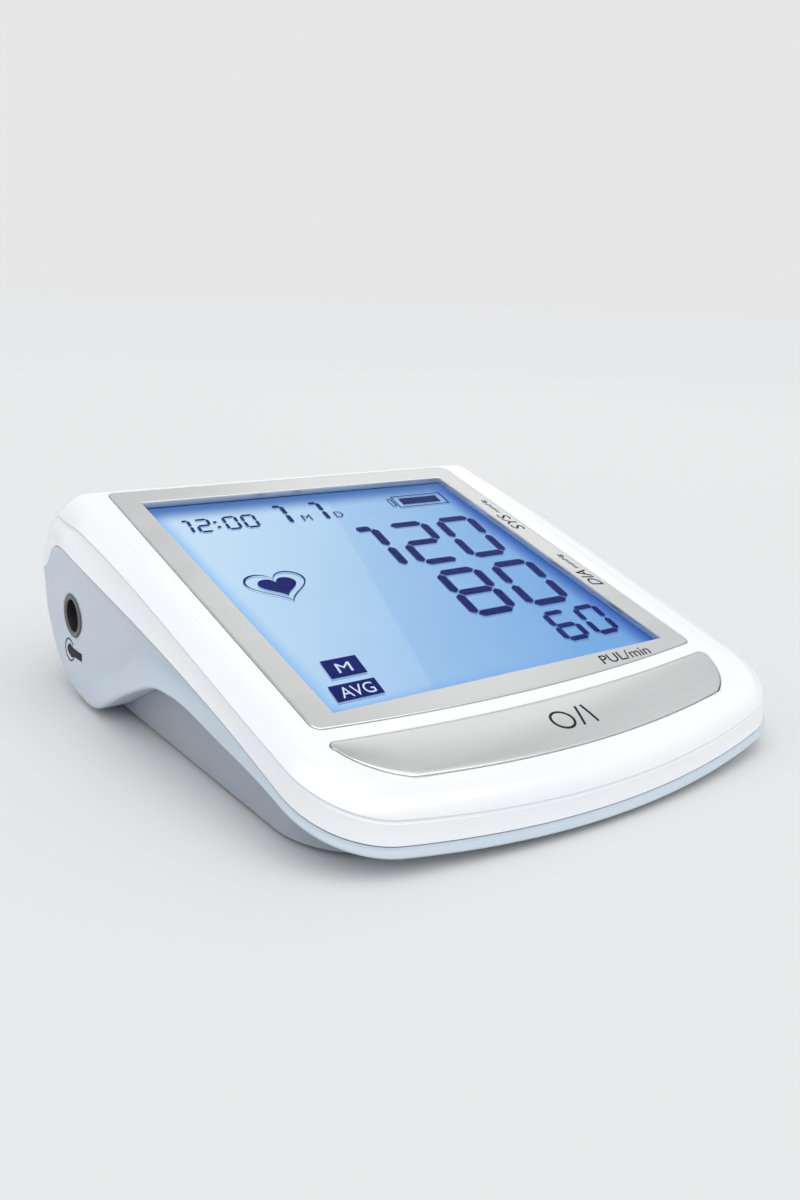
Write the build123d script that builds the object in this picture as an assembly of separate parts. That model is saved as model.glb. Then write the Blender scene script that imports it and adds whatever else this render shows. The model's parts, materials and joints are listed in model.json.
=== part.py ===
from build123d import *
from math import cos, radians, sin, tan
import os

# Upper arm blood pressure monitor, in millimetres. X runs to the user's right, Y to the back and Z up.
# The origin is on the table, under the middle of the housing, and the rubber feet stand on Z = 0.

# Housing
HALF_WIDTH = 71.0
FRONT_HALF_WIDTH = 66.0
TAPER_START_Y = 41.0
FRONT_Y = -70.85
REAR_Y = 70.85
FRONT_CORNER_Y = FRONT_Y + 9.7
FRONT_CORNER_RADIUS = 20.0
REAR_CORNER_RADIUS = 7.0
WALL = 2.2

# The tilted face that carries the screen and the button: its middle, its slope and the cover over it
FACE_TILT = 15.5
FACE_Y = 11.15
FACE_Z = 34.8
COVER_TOP = 0.5
COVER_UNDER = -3.4
SHOULDER = [(61.5, COVER_TOP + 0.1), (66.3, -1.0), (69.5, -2.4)]

# Screen frame and window, on the tilted face: half widths, back and front edges
BEZEL_HALF = 55.0
BEZEL_BACK = 52.8
BEZEL_FRONT = -52.8
BEZEL_BULGE = 3.3
BEZEL_THICK = 1.6
WINDOW_HALF = 48.4
WINDOW_BACK = 46.2
WINDOW_FRONT = -49.1
WINDOW_DEPTH = 1.8
BEZEL_LIP = 1.2
SHOW_GAP = 0.25

# Display stack, as depths below the face
LENS_THICK = 0.9
POLARISER_TOP = -2.75
GLASS_TOP = -2.95
GLASS_THICK = 1.1
DIFFUSER_THICK = 0.3
GUIDE_THICK = 2.5
LED_Z = (-7.95, -5.75)
HOLDER_BOTTOM = -9.5
HOLDER_FLOOR = 1.2
BOARD_TOP = -10.9
BOARD_THICK = 1.6

# Button and its switch
BUTTON_THICK = 1.8
BUTTON_V = -67.0
SWITCH_TOP = -5.7
SWITCH_HEIGHT = 3.5
SWITCH_SIZE = 6.2
PLUNGER_TOP = -4.65
PLUNGER_RADIUS = 1.75

# Base pan, feet and screws
PAN_HALF = 62.7
PAN_FRONT = -59.0
PAN_BACK = 36.0
PAN_CORNER = 21.0
BASE_Z = 1.2
FLOOR_TOP = 3.2
FOOT_RADIUS = 4.5
FEET = [(-46, -42), (46, -42), (-42, 40.6), (42, 40.6)]
FRONT_SCREW = (56.5, -36.0)
REAR_SCREW = (55.0, 40.4)

# Battery bay: four AA cells in two rows, lying along X
CELL_RADIUS = 7.1
CELL_LENGTH = 50.0
CELL_NIPPLE = 1.2
CELL_ROW_PITCH = 15.0
CELL_Y = 15.6
CELL_Z = 10.9
BAY_HALF_X = 54.8
BAY_HALF_Y = 15.4
BAY_TOP = 18.6
BAY_WALL = 1.4
DOOR_HALF_X = 53.0
DOOR_FRONT = 0.9
DOOR_THICK = 1.7
HINGE_Y = 30.7
HINGE_Z = 2.9
HINGE_RADIUS = 1.5
HINGE_PIN_RADIUS = 0.9
HINGE_FIT = 0.08

# Air parts at the back: socket, pump and release valve
SOCKET_Y = 47.0
SOCKET_Z = 22.4
SOCKET_RADIUS = 5.35
SOCKET_BORE = 3.95
SOCKET_DEPTH = 10.5
NOZZLE_LENGTH = 4.0
PUMP_Y = 49.5
PUMP_Z = 19.8
PUMP_RADIUS = 12.0
MOTOR_X = (22.0, 48.0)
HEAD_X = (4.0, 22.0)
SHAFT_RADIUS = 1.0
VALVE_X = -26.0
VALVE_Z = (5.8, 23.8)
MANIFOLD_X = -46.0
MANIFOLD_Z = 20.4
SENSOR_X = -22.5
SENSOR_Y = 58.4
SENSOR_HALF = 2.3
TUBE_RADIUS = 2.2
TUBE_BORE = 1.1
NOZZLE_RADIUS = 1.05

FACE = Plane(
    origin=(0, FACE_Y, FACE_Z),
    x_dir=(1, 0, 0),
    z_dir=(0, -sin(radians(FACE_TILT)), cos(radians(FACE_TILT))),
)
EPS = 0.02


def face_z(y, depth=0.0):
    """Height of the face, or of a plane below it, over a point Y."""
    return FACE_Z + (y - FACE_Y) * tan(radians(FACE_TILT)) + depth / cos(radians(FACE_TILT))


def on_face(shape, depth=0.0):
    """Move a shape drawn flat at the origin onto the face, at a height above it."""
    return FACE * (Pos(0, 0, depth) * shape)


def slab(outline, low, high):
    """A plate parallel to the face, between two heights above it."""
    return on_face(extrude(outline, high - low), low)


def block(x, y, z):
    """A box from its ranges in X, Y and Z."""
    size = Box(x[1] - x[0], y[1] - y[0], z[1] - z[0])
    return Pos((x[0] + x[1]) / 2, (y[0] + y[1]) / 2, (z[0] + z[1]) / 2) * size


def rod_x(y, z, radius, x):
    """A round bar along X."""
    return Pos((x[0] + x[1]) / 2, y, z) * Rot(0, 90, 0) * Cylinder(radius, x[1] - x[0])


def rod_z(x, y, radius, z):
    """A round bar along Z."""
    return Pos(x, y, (z[0] + z[1]) / 2) * Cylinder(radius, z[1] - z[0])


def group(shapes):
    """Separate solids kept together in one node."""
    solids = []
    for shape in shapes:
        solids += shape.solids()
    return Compound(children=solids)


def housing_plan(inset=0.0):
    """Outline of the housing seen from above: tapered sides, a bowed front and round corners."""
    half, front_half = HALF_WIDTH - inset, FRONT_HALF_WIDTH - inset
    corner_y = FRONT_CORNER_Y + inset
    front = ThreePointArc((-front_half, corner_y), (0, FRONT_Y + inset), (front_half, corner_y))
    sides = Polyline(
        (front_half, corner_y),
        (half, TAPER_START_Y),
        (half, REAR_Y - inset),
        (-half, REAR_Y - inset),
        (-half, TAPER_START_Y),
        (-front_half, corner_y),
    )
    plan = make_face(front + sides)
    rear = plan.vertices().filter_by(lambda v: v.Y > REAR_Y - inset - 0.1)
    plan = fillet(rear, max(REAR_CORNER_RADIUS - inset, 1.0))
    corners = plan.vertices().filter_by(lambda v: v.Y < corner_y + 0.1)
    return fillet(corners, FRONT_CORNER_RADIUS - inset)


def parting_edge():
    """Side view of the joint between cover and lower shell, from the front to the back."""
    front = ThreePointArc((-90, -1.0), (-24.75, 20.0), (21.55, 31.5))
    rise = Line((21.55, 31.5), (52, 38.4))
    turn = Polyline((52, 38.4), (59, 38.8), (63.4, 30.5), (80, 30.5))
    return front, rise, turn


def upper_region():
    """Everything above the parting edge, as a wide block."""
    front, rise, turn = parting_edge()
    close = Polyline((80, 30.5), (80, 90), (-90, 90), (-90, -1.0))
    return extrude(Plane.YZ * make_face(front + rise + turn + close), 90, both=True)


def side_view():
    """Side view of the whole housing: tilted top, bulging back, foot, arch and thin front."""
    top = Line((64.0, face_z(64.0, COVER_TOP)), (-63.0, face_z(-63.0, COVER_TOP)))
    nose = ThreePointArc(top @ 1, (-69.3, 11.0), (-71.5, 1.8))
    lip = Line((-71.5, 1.8), (-68.5, 1.6))
    under = Spline((-68.5, 1.6), (-44.8, 11.1), (-24.2, 15.4), (-3.0, 18.9), (11.2, 14.3), (26.2, 6.3), (36.3, BASE_Z))
    sole = Line((36.3, BASE_Z), (44.0, BASE_Z))
    back = Spline((44.0, BASE_Z), (53.4, 3.0), (61.6, 8.0), (66.5, 14.4), (69.8, 21.0), (70.8, 30.0), top @ 0)
    return make_face(top + nose + lip + under + sole + back)


def shoulder():
    """What the sloping shoulder takes off the cover's right edge, as a long bar along the face."""
    across = Plane(origin=FACE.origin, x_dir=(1, 0, 0), z_dir=-FACE.y_dir)
    section = Polyline(*SHOULDER, (90, SHOULDER[-1][1]), (90, 20), (SHOULDER[0][0], 20), close=True)
    return extrude(across * make_face(section), 110, both=True)


def housing():
    """Solid envelope of the cover and the lower shell."""
    body = extrude(housing_plan(), 70)
    body &= extrude(Plane.YZ * side_view(), 90, both=True)
    return body - shoulder() - mirror(shoulder(), Plane.YZ)


def cavity_side():
    """Side view of the space inside, a wall's thickness in from the outside."""
    return Polyline(
        (62.5, face_z(62.5, COVER_UNDER)),
        (-62.0, face_z(-62.0, COVER_UNDER)),
        (-67.5, 7.0),
        (-67.5, 4.4),
        (-44.8, 13.5),
        (-24.2, 17.8),
        (-3.0, 21.3),
        (12.2, 16.7),
        (27.6, 8.4),
        (37.6, FLOOR_TOP),
        (44.0, FLOOR_TOP),
        (52.6, 5.1),
        (60.0, 10.0),
        (64.4, 15.6),
        (67.4, 21.8),
        (68.4, 30.0),
        close=True,
    )


def cavity():
    """The space inside the cover and the lower shell."""
    body = extrude(housing_plan(WALL), 70)
    return body & extrude(Plane.YZ * make_face(cavity_side()), 90, both=True)


def bezel_outline(grow=0.0):
    """Outline of the screen frame: three straight edges and a bowed front one."""
    half = BEZEL_HALF + grow
    front = BEZEL_FRONT - grow
    bow = ThreePointArc((-half, front), (0, front - BEZEL_BULGE), (half, front))
    rest = Polyline((half, front), (half, BEZEL_BACK + grow), (-half, BEZEL_BACK + grow), (-half, front))
    return fillet(make_face(bow + rest).vertices(), 2.2 + grow)


def rectangle(half, back, front, radius=0.0):
    """A rectangle on the face, with round corners where asked."""
    plate = Pos(0, (back + front) / 2) * Rectangle(2 * half, back - front)
    return fillet(plate.vertices(), radius) if radius else plate


def button_outline(grow=0.0):
    """Outline of the crescent button."""
    top = ThreePointArc((-55.0, -57.2), (0, -60.5), (55.0, -57.2))
    right = ThreePointArc((55.0, -57.2), (51.6, -65.0), (44.0, -71.6))
    low = ThreePointArc((44.0, -71.6), (0, -75.6), (-44.0, -71.6))
    left = ThreePointArc((-44.0, -71.6), (-51.6, -65.0), (-55.0, -57.2))
    shape = make_face(top + right + low + left)
    tips = shape.vertices().filter_by(lambda v: v.Y > -58)
    shape = fillet(tips, 1.8)
    return offset(shape, grow) if grow else shape


def screw_places():
    """Where the four housing screws stand: X, Y and the height of the head's seat."""
    places = []
    for side in (-1, 1):
        places.append((side * FRONT_SCREW[0], FRONT_SCREW[1], 5.2))
        places.append((side * REAR_SCREW[0], REAR_SCREW[1], 6.4))
    return places


def top_cover():
    """White cover: tilted top, skirt, pockets for the screen frame and the button, screw bosses."""
    cover = (housing() - cavity()) & upper_region()
    cover -= slab(bezel_outline(SHOW_GAP), -BEZEL_THICK, 5)
    cover -= slab(rectangle(WINDOW_HALF + 2.4, WINDOW_BACK + 2.4, WINDOW_FRONT - 2.4), -6, 5)
    cover -= slab(button_outline(SHOW_GAP), -6, 5) + slab(button_outline(1.3), -9, COVER_UNDER)
    for x, y, seat in screw_places():
        boss = rod_z(x, y, 3.0, (seat + 4.0, face_z(y, COVER_UNDER) + 0.6))
        cover += boss - rod_z(x, y, 1.3, (0, seat + 9.0))
    return cover


def lower_shell():
    """Pale lower shell: cheeks, back foot, arches and the thin rim under the cover."""
    shell = (housing() - cavity()) - upper_region()
    shell -= pan_block(0.15, -5, 60)
    shell -= rod_x(SOCKET_Y, SOCKET_Z, SOCKET_RADIUS + 0.05, (-80, -60))
    for x, y, seat in screw_places():
        if y > 0:
            shell += rod_z(x, y, 3.8, (BASE_Z + 1.0, seat + 3.9))
            shell -= rod_z(x, y, 3.0, (0, seat)) + rod_z(x, y, 1.5, (0, 20))
    for x, y in FEET:
        if y > 0:
            shell -= rod_z(x, y, FOOT_RADIUS + 0.1, (0, BASE_Z + 0.5))
    return shell.solids().sort_by(SortBy.VOLUME)[-1]


def pan_outline(grow=0.0):
    """Outline of the base pan from above, with round front corners."""
    half = PAN_HALF + grow
    plate = Pos(0, (PAN_BACK + PAN_FRONT) / 2) * Rectangle(2 * half, PAN_BACK - PAN_FRONT + 2 * grow)
    front = plate.vertices().filter_by(lambda v: v.Y < 0)
    return fillet(front, PAN_CORNER + grow)


def pan_block(grow, low, high):
    """The pan's outline as a solid between two heights."""
    return Pos(0, 0, low) * extrude(pan_outline(grow), high - low)


def pan_wall_top():
    """Everything below the top of the pan's wall, which follows the shell's underside."""
    line = Polyline(
        (-64, 6.0),
        (-44.8, 14.0),
        (-24.2, 18.4),
        (-3.0, 21.6),
        (12.2, 17.2),
        (27.6, 9.0),
        (34.0, FLOOR_TOP + 1.6),
        (38.0, FLOOR_TOP),
        (38.0, -5),
        (-64, -5),
        close=True,
    )
    return extrude(Plane.YZ * make_face(line), 90, both=True)


def bay(grow, low):
    """The battery bay as a block, grown by a wall for the pan and not for the space."""
    x = BAY_HALF_X + grow
    y = BAY_HALF_Y + grow
    return block((-x, x), (CELL_Y - y, CELL_Y + y), (low, BAY_TOP + grow))


def base_pan():
    """Grey base pan: floor, side wall, battery bay and hinge bearings for its door."""
    pan = pan_block(0, BASE_Z, 40) - pan_block(-2.0, FLOOR_TOP, 41)
    pan &= pan_wall_top()
    pan += bay(BAY_WALL, BASE_Z)
    for x, y, seat in screw_places():
        if y < 0:
            pan += rod_z(x, y, 3.8, (BASE_Z, seat + 3.9))
            pan -= rod_z(x, y, 3.0, (0, seat)) + rod_z(x, y, 1.5, (0, 20))
    seat = BASE_Z + DOOR_THICK + 0.1
    pan -= bay(0, seat)
    swing = DOOR_HALF_X + 0.3
    back = HINGE_Y + HINGE_RADIUS + 0.4
    pan += block((-BAY_HALF_X - 2, BAY_HALF_X + 2), (CELL_Y + BAY_HALF_Y, back + 1.4), (BASE_Z, HINGE_Z + 3.4))
    pan -= block((-swing, swing), (DOOR_FRONT - 0.3, back), (0, seat))
    pan -= block((-swing, swing), (HINGE_Y - HINGE_RADIUS - 0.6, back), (0, HINGE_Z + HINGE_RADIUS + 0.4))
    pan -= rod_x(HINGE_Y, HINGE_Z, HINGE_PIN_RADIUS + HINGE_FIT, (-swing - 2.2, swing + 2.2))
    for x, y in FEET:
        if y < 0:
            pan -= rod_z(x, y, FOOT_RADIUS + 0.1, (0, BASE_Z + 0.5))
    return pan


def battery_door():
    """Door of the battery bay: plate, finger notch, hinge barrel with end pins, stiffening ribs."""
    plate = block((-DOOR_HALF_X, DOOR_HALF_X), (DOOR_FRONT, HINGE_Y), (BASE_Z, BASE_Z + DOOR_THICK))
    notch = Pos(0, DOOR_FRONT, BASE_Z) * Rot(0, 90, 0) * Cylinder(1.0, 22)
    door = plate - notch
    for rib in (-10.0, -16.0, 10.0, 16.0):
        x = rib * 2.6
        door += block((x, x + 1.2), (DOOR_FRONT + 5, HINGE_Y - 4), (BASE_Z + DOOR_THICK, BASE_Z + DOOR_THICK + 0.5))
    barrel = rod_x(HINGE_Y, HINGE_Z, HINGE_RADIUS, (-DOOR_HALF_X, DOOR_HALF_X))
    pins = rod_x(HINGE_Y, HINGE_Z, HINGE_PIN_RADIUS, (-DOOR_HALF_X - 2, DOOR_HALF_X + 2))
    return door + barrel + pins


def battery_cells():
    """Four AA cells, each row end to end, the rows facing opposite ways."""
    cells = []
    for row in (-1, 1):
        y = CELL_Y + row * CELL_ROW_PITCH / 2
        for half in (-1, 1):
            start = -50.6 if half < 0 else 0.7
            ends = (start, start + CELL_LENGTH - CELL_NIPPLE)
            if row > 0:
                ends = (-ends[1], -ends[0])
            tip = (ends[1] - 0.1, ends[1] + CELL_NIPPLE) if row < 0 else (ends[0] - CELL_NIPPLE, ends[0] + 0.1)
            cells.append(rod_x(y, CELL_Z, CELL_RADIUS, ends) + rod_x(y, CELL_Z, 2.6, tip))
    return group(cells)


def coil_spring(radius, wire, turns, length):
    """A spring as a stack of rings on a thin core, standing on the origin along Z."""
    shape = Cylinder(radius * 0.35, length)
    for turn in range(turns):
        z = -length / 2 + wire + (length - 2 * wire) * turn / (turns - 1)
        shape += Pos(0, 0, z) * Cylinder(radius, 2 * wire)
    return shape


def battery_springs():
    """A contact spring at the negative end of each row."""
    springs = []
    for row in (-1, 1):
        y = CELL_Y + row * CELL_ROW_PITCH / 2
        x = row * 52.35
        springs.append(Pos(x, y, CELL_Z) * Rot(0, 90, 0) * coil_spring(3.6, 0.35, 4, 3.4))
    return group(springs)


def battery_contacts():
    """Nickel contact plates on both end walls of the bay, with solder tails up through its roof."""
    plates = []
    for side in (-1, 1):
        x = side * (BAY_HALF_X - 0.3)
        for row in (-1, 1):
            y = CELL_Y + row * CELL_ROW_PITCH / 2
            plate = block((x - 0.2, x + 0.2), (y - 5, y + 5), (5.4, 16.6))
            if side != row:
                centre = x - side * 0.9
                plate += rod_x(y, CELL_Z, 2.2, (min(centre, x), max(centre, x)))
            plates.append(plate)
    return group(plates)


def rubber_feet():
    """Four rubber discs glued in shallow pockets under the base."""
    feet = [rod_z(x, y, FOOT_RADIUS, (0, BASE_Z + 0.5)) for x, y in FEET]
    return group(feet)


def screw(x, y, seat, shank):
    """A pan-head screw driven upwards, with a cross recess in its head."""
    head = rod_z(x, y, 2.6, (seat - 1.9, seat))
    cross = block((x - 1.5, x + 1.5), (y - 0.3, y + 0.3), (seat - 2, seat - 0.8))
    cross += block((x - 0.3, x + 0.3), (y - 1.5, y + 1.5), (seat - 2, seat - 0.8))
    return head - cross + rod_z(x, y, 1.25, (seat - 0.1, seat + shank))


def housing_screws():
    """Four screws from below that hold base, lower shell and cover together."""
    return group([screw(x, y, seat - EPS, 8.4) for x, y, seat in screw_places()])


def bezel_frame():
    """Satin metal frame round the screen, with a lip down into the window."""
    frame = slab(bezel_outline(), -BEZEL_THICK, 0)
    lip = rectangle(WINDOW_HALF + BEZEL_LIP, WINDOW_BACK + BEZEL_LIP, WINDOW_FRONT - BEZEL_LIP)
    frame += slab(lip, -WINDOW_DEPTH, -0.5)
    return frame - slab(rectangle(WINDOW_HALF, WINDOW_BACK, WINDOW_FRONT), -5, 5)


def window_lens():
    """Clear acrylic window under the frame's lip."""
    plate = rectangle(WINDOW_HALF + 2.1, WINDOW_BACK + 2.1, WINDOW_FRONT - 2.1)
    return slab(plate, -WINDOW_DEPTH - LENS_THICK, -WINDOW_DEPTH)


def polariser():
    """Front polarising film of the display."""
    return slab(rectangle(49.4, 47.0, -50.0), GLASS_TOP, POLARISER_TOP)


def front_glass():
    """Front glass of the display cell."""
    return slab(rectangle(49.6, 47.4, -50.4), GLASS_TOP - GLASS_THICK, GLASS_TOP)


def rear_glass():
    """Rear glass, longer at the front where its contacts are."""
    low = GLASS_TOP - 2 * GLASS_THICK
    return slab(rectangle(49.6, 47.4, -55.0), low, low + GLASS_THICK)


def stack_top():
    """Height of the underside of the rear glass."""
    return GLASS_TOP - 2 * GLASS_THICK


def diffuser():
    """Diffusing film between the glass and the light guide."""
    return slab(rectangle(49.2, 45.6, -49.8), stack_top() - DIFFUSER_THICK, stack_top())


def light_guide():
    """Acrylic plate that spreads the light of the LEDs."""
    top = stack_top() - DIFFUSER_THICK
    return slab(rectangle(49.2, 44.6, -49.8), top - GUIDE_THICK, top)


def reflector():
    """White film under the light guide."""
    top = stack_top() - DIFFUSER_THICK - GUIDE_THICK
    return slab(rectangle(49.2, 45.6, -49.8), top - 0.3, top)


def led_strip():
    """Narrow board on edge behind the light guide, which carries the LEDs."""
    return slab(rectangle(45.0, 47.3, 46.5), LED_Z[0] - 0.2, LED_Z[1] + 0.2)


def backlight_leds():
    """Eight side-firing LEDs along the strip."""
    leds = []
    for index in range(8):
        x = -38.5 + index * 11.0
        leds.append(slab(Pos(x, 45.6) * Rectangle(3.0, 1.6), *LED_Z))
    return group(leds)


def board_screw_places():
    """Where the main board is screwed to the holder, on the face."""
    return [(-44.0, -24.0), (44.0, -24.0), (-44.0, -46.0), (44.0, -46.0)]


def lcd_holder():
    """White tray that holds glass and backlight, open at the front for the contacts."""
    tray = slab(rectangle(51.4, 49.2, -52.0), HOLDER_BOTTOM, COVER_UNDER - 0.05)
    tray -= slab(rectangle(49.8, 47.6, -60), stack_top() - EPS, 0)
    tray -= slab(rectangle(49.8, 47.6, -50.4), HOLDER_BOTTOM + HOLDER_FLOOR, 0)
    for x, v in board_screw_places():
        post = slab(Pos(x, v) * Circle(2.8), BOARD_TOP, HOLDER_BOTTOM + 0.2)
        tray = tray + post - slab(Pos(x, v) * Circle(1.05), BOARD_TOP - 1, HOLDER_BOTTOM + 0.9)
    return tray


def contact_strip():
    """Striped rubber connector between the rear glass and the main board."""
    return slab(rectangle(40.0, -52.4, -54.6), BOARD_TOP, stack_top())


def main_board():
    """Main circuit board, parallel to the face under the display."""
    board = slab(rectangle(52.0, -21.0, -56.5, 2.0), BOARD_TOP - BOARD_THICK, BOARD_TOP)
    for x, v in board_screw_places():
        board -= slab(Pos(x, v) * Circle(1.3), -20, 0)
    return board


def board_part(x, v, width, depth, height):
    """A part soldered under the main board."""
    low = BOARD_TOP - BOARD_THICK - height
    return slab(Pos(x, v) * Rectangle(width, depth), low, low + height)


def board_can(x, v, radius, height):
    """A round part soldered under the main board."""
    low = BOARD_TOP - BOARD_THICK - height
    return slab(Pos(x, v) * Circle(radius), low, low + height)


def controller_chip():
    """Controller with leads on four sides."""
    chip = board_part(4.0, -36.0, 12.0, 12.0, 1.5)
    for index in range(12):
        step = -4.95 + index * 0.9
        for side in (-1, 1):
            chip += board_part(4.0 + side * 6.6, -36.0 + step, 1.6, 0.4, 0.3)
            chip += board_part(4.0 + step, -36.0 + side * 6.6, 0.4, 1.6, 0.3)
    return chip


def pressure_sensor():
    """Silicon pressure sensor on its own board, with one hose nozzle to the left."""
    body = block((SENSOR_X - 4.5, SENSOR_X + 4.5), (SENSOR_Y - SENSOR_HALF, SENSOR_Y + SENSOR_HALF), (SOCKET_Z - 5, SOCKET_Z + 5))
    return body + rod_x(SENSOR_Y, SOCKET_Z, NOZZLE_RADIUS, (SENSOR_X - 8.5, SENSOR_X - 4.4))


def sensor_board():
    """Small upright board that carries the pressure sensor at the back."""
    y = SENSOR_Y + SENSOR_HALF
    return block((SENSOR_X - 7, SENSOR_X + 9), (y, y + 1.2), (SOCKET_Z - 8, SOCKET_Z + 8))


def board_chips():
    """Amplifier, memory and motor driver."""
    amplifier = board_part(-18.0, -36.0, 5.0, 4.4, 1.4)
    memory = board_part(-16.0, -46.0, 5.0, 4.4, 1.4)
    driver = board_part(26.0, -30.0, 5.0, 4.4, 1.4)
    return group([amplifier, memory, driver])


def crystal():
    """Quartz crystal in its can."""
    return board_part(19.5, -44.0, 3.4, 8.6, 2.4)


def capacitors():
    """Three electrolytic capacitors on the pump and supply lines."""
    places = [(34.0, -30.0), (34.0, -39.0), (-40.0, -34.0)]
    return group([board_can(x, v, 2.4, 3.6) for x, v in places])


def small_parts():
    """Resistors and ceramic capacitors in two rows."""
    parts = []
    for index in range(9):
        parts.append(board_part(-10.0 + index * 3.2, -26.6, 1.6, 0.8, 0.5))
        parts.append(board_part(-10.0 + index * 3.2, -48.6, 1.6, 0.8, 0.5))
    return group(parts)


def buzzer():
    """Round beeper with a sound hole."""
    return board_can(34.0, -49.5, 4.2, 2.4) - board_can(34.0, -49.5, 0.8, 5.0)


def board_screws():
    """Four small screws that hold the main board to the holder."""
    low = BOARD_TOP - BOARD_THICK
    screws = []
    for x, v in board_screw_places():
        head = slab(Pos(x, v) * Circle(2.0), low - 1.2, low)
        screws.append(head + slab(Pos(x, v) * Circle(1.0), low - 0.1, HOLDER_BOTTOM + 0.6))
    return group(screws)


def power_button():
    """Crescent button: thin cap with a skirt, a flange inside the cover and a rib over the switch."""
    cap = slab(button_outline(), COVER_UNDER - 1.0, 0)
    cap += slab(button_outline(1.0), COVER_UNDER - 1.0, COVER_UNDER - 0.05)
    cap -= slab(offset(button_outline(), -1.6), -10, -BUTTON_THICK)
    rib = slab(Pos(0, BUTTON_V) * Rectangle(6.0, 6.0), PLUNGER_TOP + 0.05, -BUTTON_THICK + 0.1)
    return cap + rib


def switch_bottom():
    """Height of the button board's top face."""
    return SWITCH_TOP - SWITCH_HEIGHT


def switch_body():
    """Square case of the push switch, with a bore for its plunger."""
    body = slab(Pos(0, BUTTON_V) * Rectangle(SWITCH_SIZE, SWITCH_SIZE), switch_bottom(), SWITCH_TOP)
    return body - slab(Pos(0, BUTTON_V) * Circle(PLUNGER_RADIUS + 0.08), SWITCH_TOP - 2.4, 0)


def switch_plunger():
    """Round plunger of the push switch."""
    return slab(Pos(0, BUTTON_V) * Circle(PLUNGER_RADIUS), SWITCH_TOP - 1.6, PLUNGER_TOP)


def button_board():
    """Small board that carries the push switch."""
    low = switch_bottom() - 1.2
    return slab(Pos(0, BUTTON_V + 1.0) * Rectangle(44.0, 12.0), low, low + 1.2)


def air_socket():
    """Socket for the cuff's plug: grey ring in the left cheek, bore, and a hose nozzle inside."""
    mouth = -HALF_WIDTH
    inner = mouth + SOCKET_DEPTH + 2.0
    body = rod_x(SOCKET_Y, SOCKET_Z, SOCKET_RADIUS, (mouth, inner))
    body += rod_x(SOCKET_Y, SOCKET_Z, SOCKET_RADIUS + 1.8, (mouth + WALL + 0.1, mouth + WALL + 2.1))
    body += rod_x(SOCKET_Y, SOCKET_Z, NOZZLE_RADIUS, (inner - 0.1, inner + NOZZLE_LENGTH))
    body -= rod_x(SOCKET_Y, SOCKET_Z, SOCKET_BORE, (mouth - 1, mouth + SOCKET_DEPTH))
    return body - rod_x(SOCKET_Y, SOCKET_Z, 0.5, (mouth, inner + 7.0))


def pump_motor():
    """Steel can of the pump's motor with its bearing hole, open at the terminal end."""
    can = rod_x(PUMP_Y, PUMP_Z, PUMP_RADIUS, MOTOR_X)
    can -= rod_x(PUMP_Y, PUMP_Z, PUMP_RADIUS - 0.8, (MOTOR_X[0] + 1.0, MOTOR_X[1] + 1))
    return can - rod_x(PUMP_Y, PUMP_Z, SHAFT_RADIUS + 0.05, (MOTOR_X[0] - 1, MOTOR_X[1]))


def pump_magnets():
    """Two curved magnets inside the can."""
    ring = rod_x(PUMP_Y, PUMP_Z, PUMP_RADIUS - 0.85, (MOTOR_X[0] + 3, MOTOR_X[1] - 6))
    ring -= rod_x(PUMP_Y, PUMP_Z, 8.8, MOTOR_X)
    gap = block(MOTOR_X, (PUMP_Y - 15, PUMP_Y + 15), (PUMP_Z - 2.5, PUMP_Z + 2.5))
    return group([ring - gap])


def pump_endcap():
    """Plastic end of the motor with its rear bearing and two terminals."""
    x = MOTOR_X[1]
    cap = rod_x(PUMP_Y, PUMP_Z, PUMP_RADIUS - 0.85, (x - 1.5, x + 0.8))
    for side in (-1, 1):
        y = PUMP_Y + side * 5
        cap += block((x + 0.7, x + 3.0), (y - 0.3, y + 0.3), (PUMP_Z - 1.2, PUMP_Z + 1.2))
    return cap - rod_x(PUMP_Y, PUMP_Z, SHAFT_RADIUS + 0.05, (x - 4, x - 0.4))


def pump_rotor():
    """Shaft with armature, commutator and the eccentric that works the pump head."""
    rotor = rod_x(PUMP_Y, PUMP_Z, SHAFT_RADIUS, (HEAD_X[1] - 8.0, MOTOR_X[1] - 0.6))
    rotor += rod_x(PUMP_Y, PUMP_Z, 8.2, (MOTOR_X[0] + 4, MOTOR_X[1] - 7))
    for index in range(3):
        slot = Pos(0, PUMP_Y, PUMP_Z) * Rot(index * 120, 0, 0) * Pos(30.5, 0, 8) * Box(20, 2.0, 6)
        rotor -= slot
    rotor += rod_x(PUMP_Y, PUMP_Z, 2.4, (MOTOR_X[1] - 6, MOTOR_X[1] - 3))
    return rotor + rod_x(PUMP_Y, PUMP_Z + 1.0, 4.0, (HEAD_X[1] - 7.0, HEAD_X[1] - 2.5))


def square_end(x):
    """A square block with very round edges on the pump's axis."""
    half = 12.0
    body = block(x, (PUMP_Y - half, PUMP_Y + half), (PUMP_Z - half, PUMP_Z + half))
    return fillet(body.edges().filter_by(Axis.X), 7.0)


def pump_head():
    """Plastic body of the pump head, open towards the diaphragm."""
    head = square_end(HEAD_X)
    head -= rod_x(PUMP_Y, PUMP_Z, 10.6, (HEAD_X[0] - 1, HEAD_X[1] - 1.6))
    return head - rod_x(PUMP_Y, PUMP_Z, SHAFT_RADIUS + 0.3, HEAD_X)


def wobble_plate():
    """Three-armed plate that the eccentric tips to and fro."""
    plate = rod_x(PUMP_Y, PUMP_Z, 7.4, (HEAD_X[1] - 6.4, HEAD_X[1] - 3.0))
    for index in range(3):
        arm = Rot(index * 120, 0, 0) * Pos(HEAD_X[1] - 10.4, 0, 7.6) * Box(8.0, 3.0, 3.0)
        plate += Pos(0, PUMP_Y, PUMP_Z) * arm
    return plate - rod_x(PUMP_Y, PUMP_Z, 5.4, HEAD_X)


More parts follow.
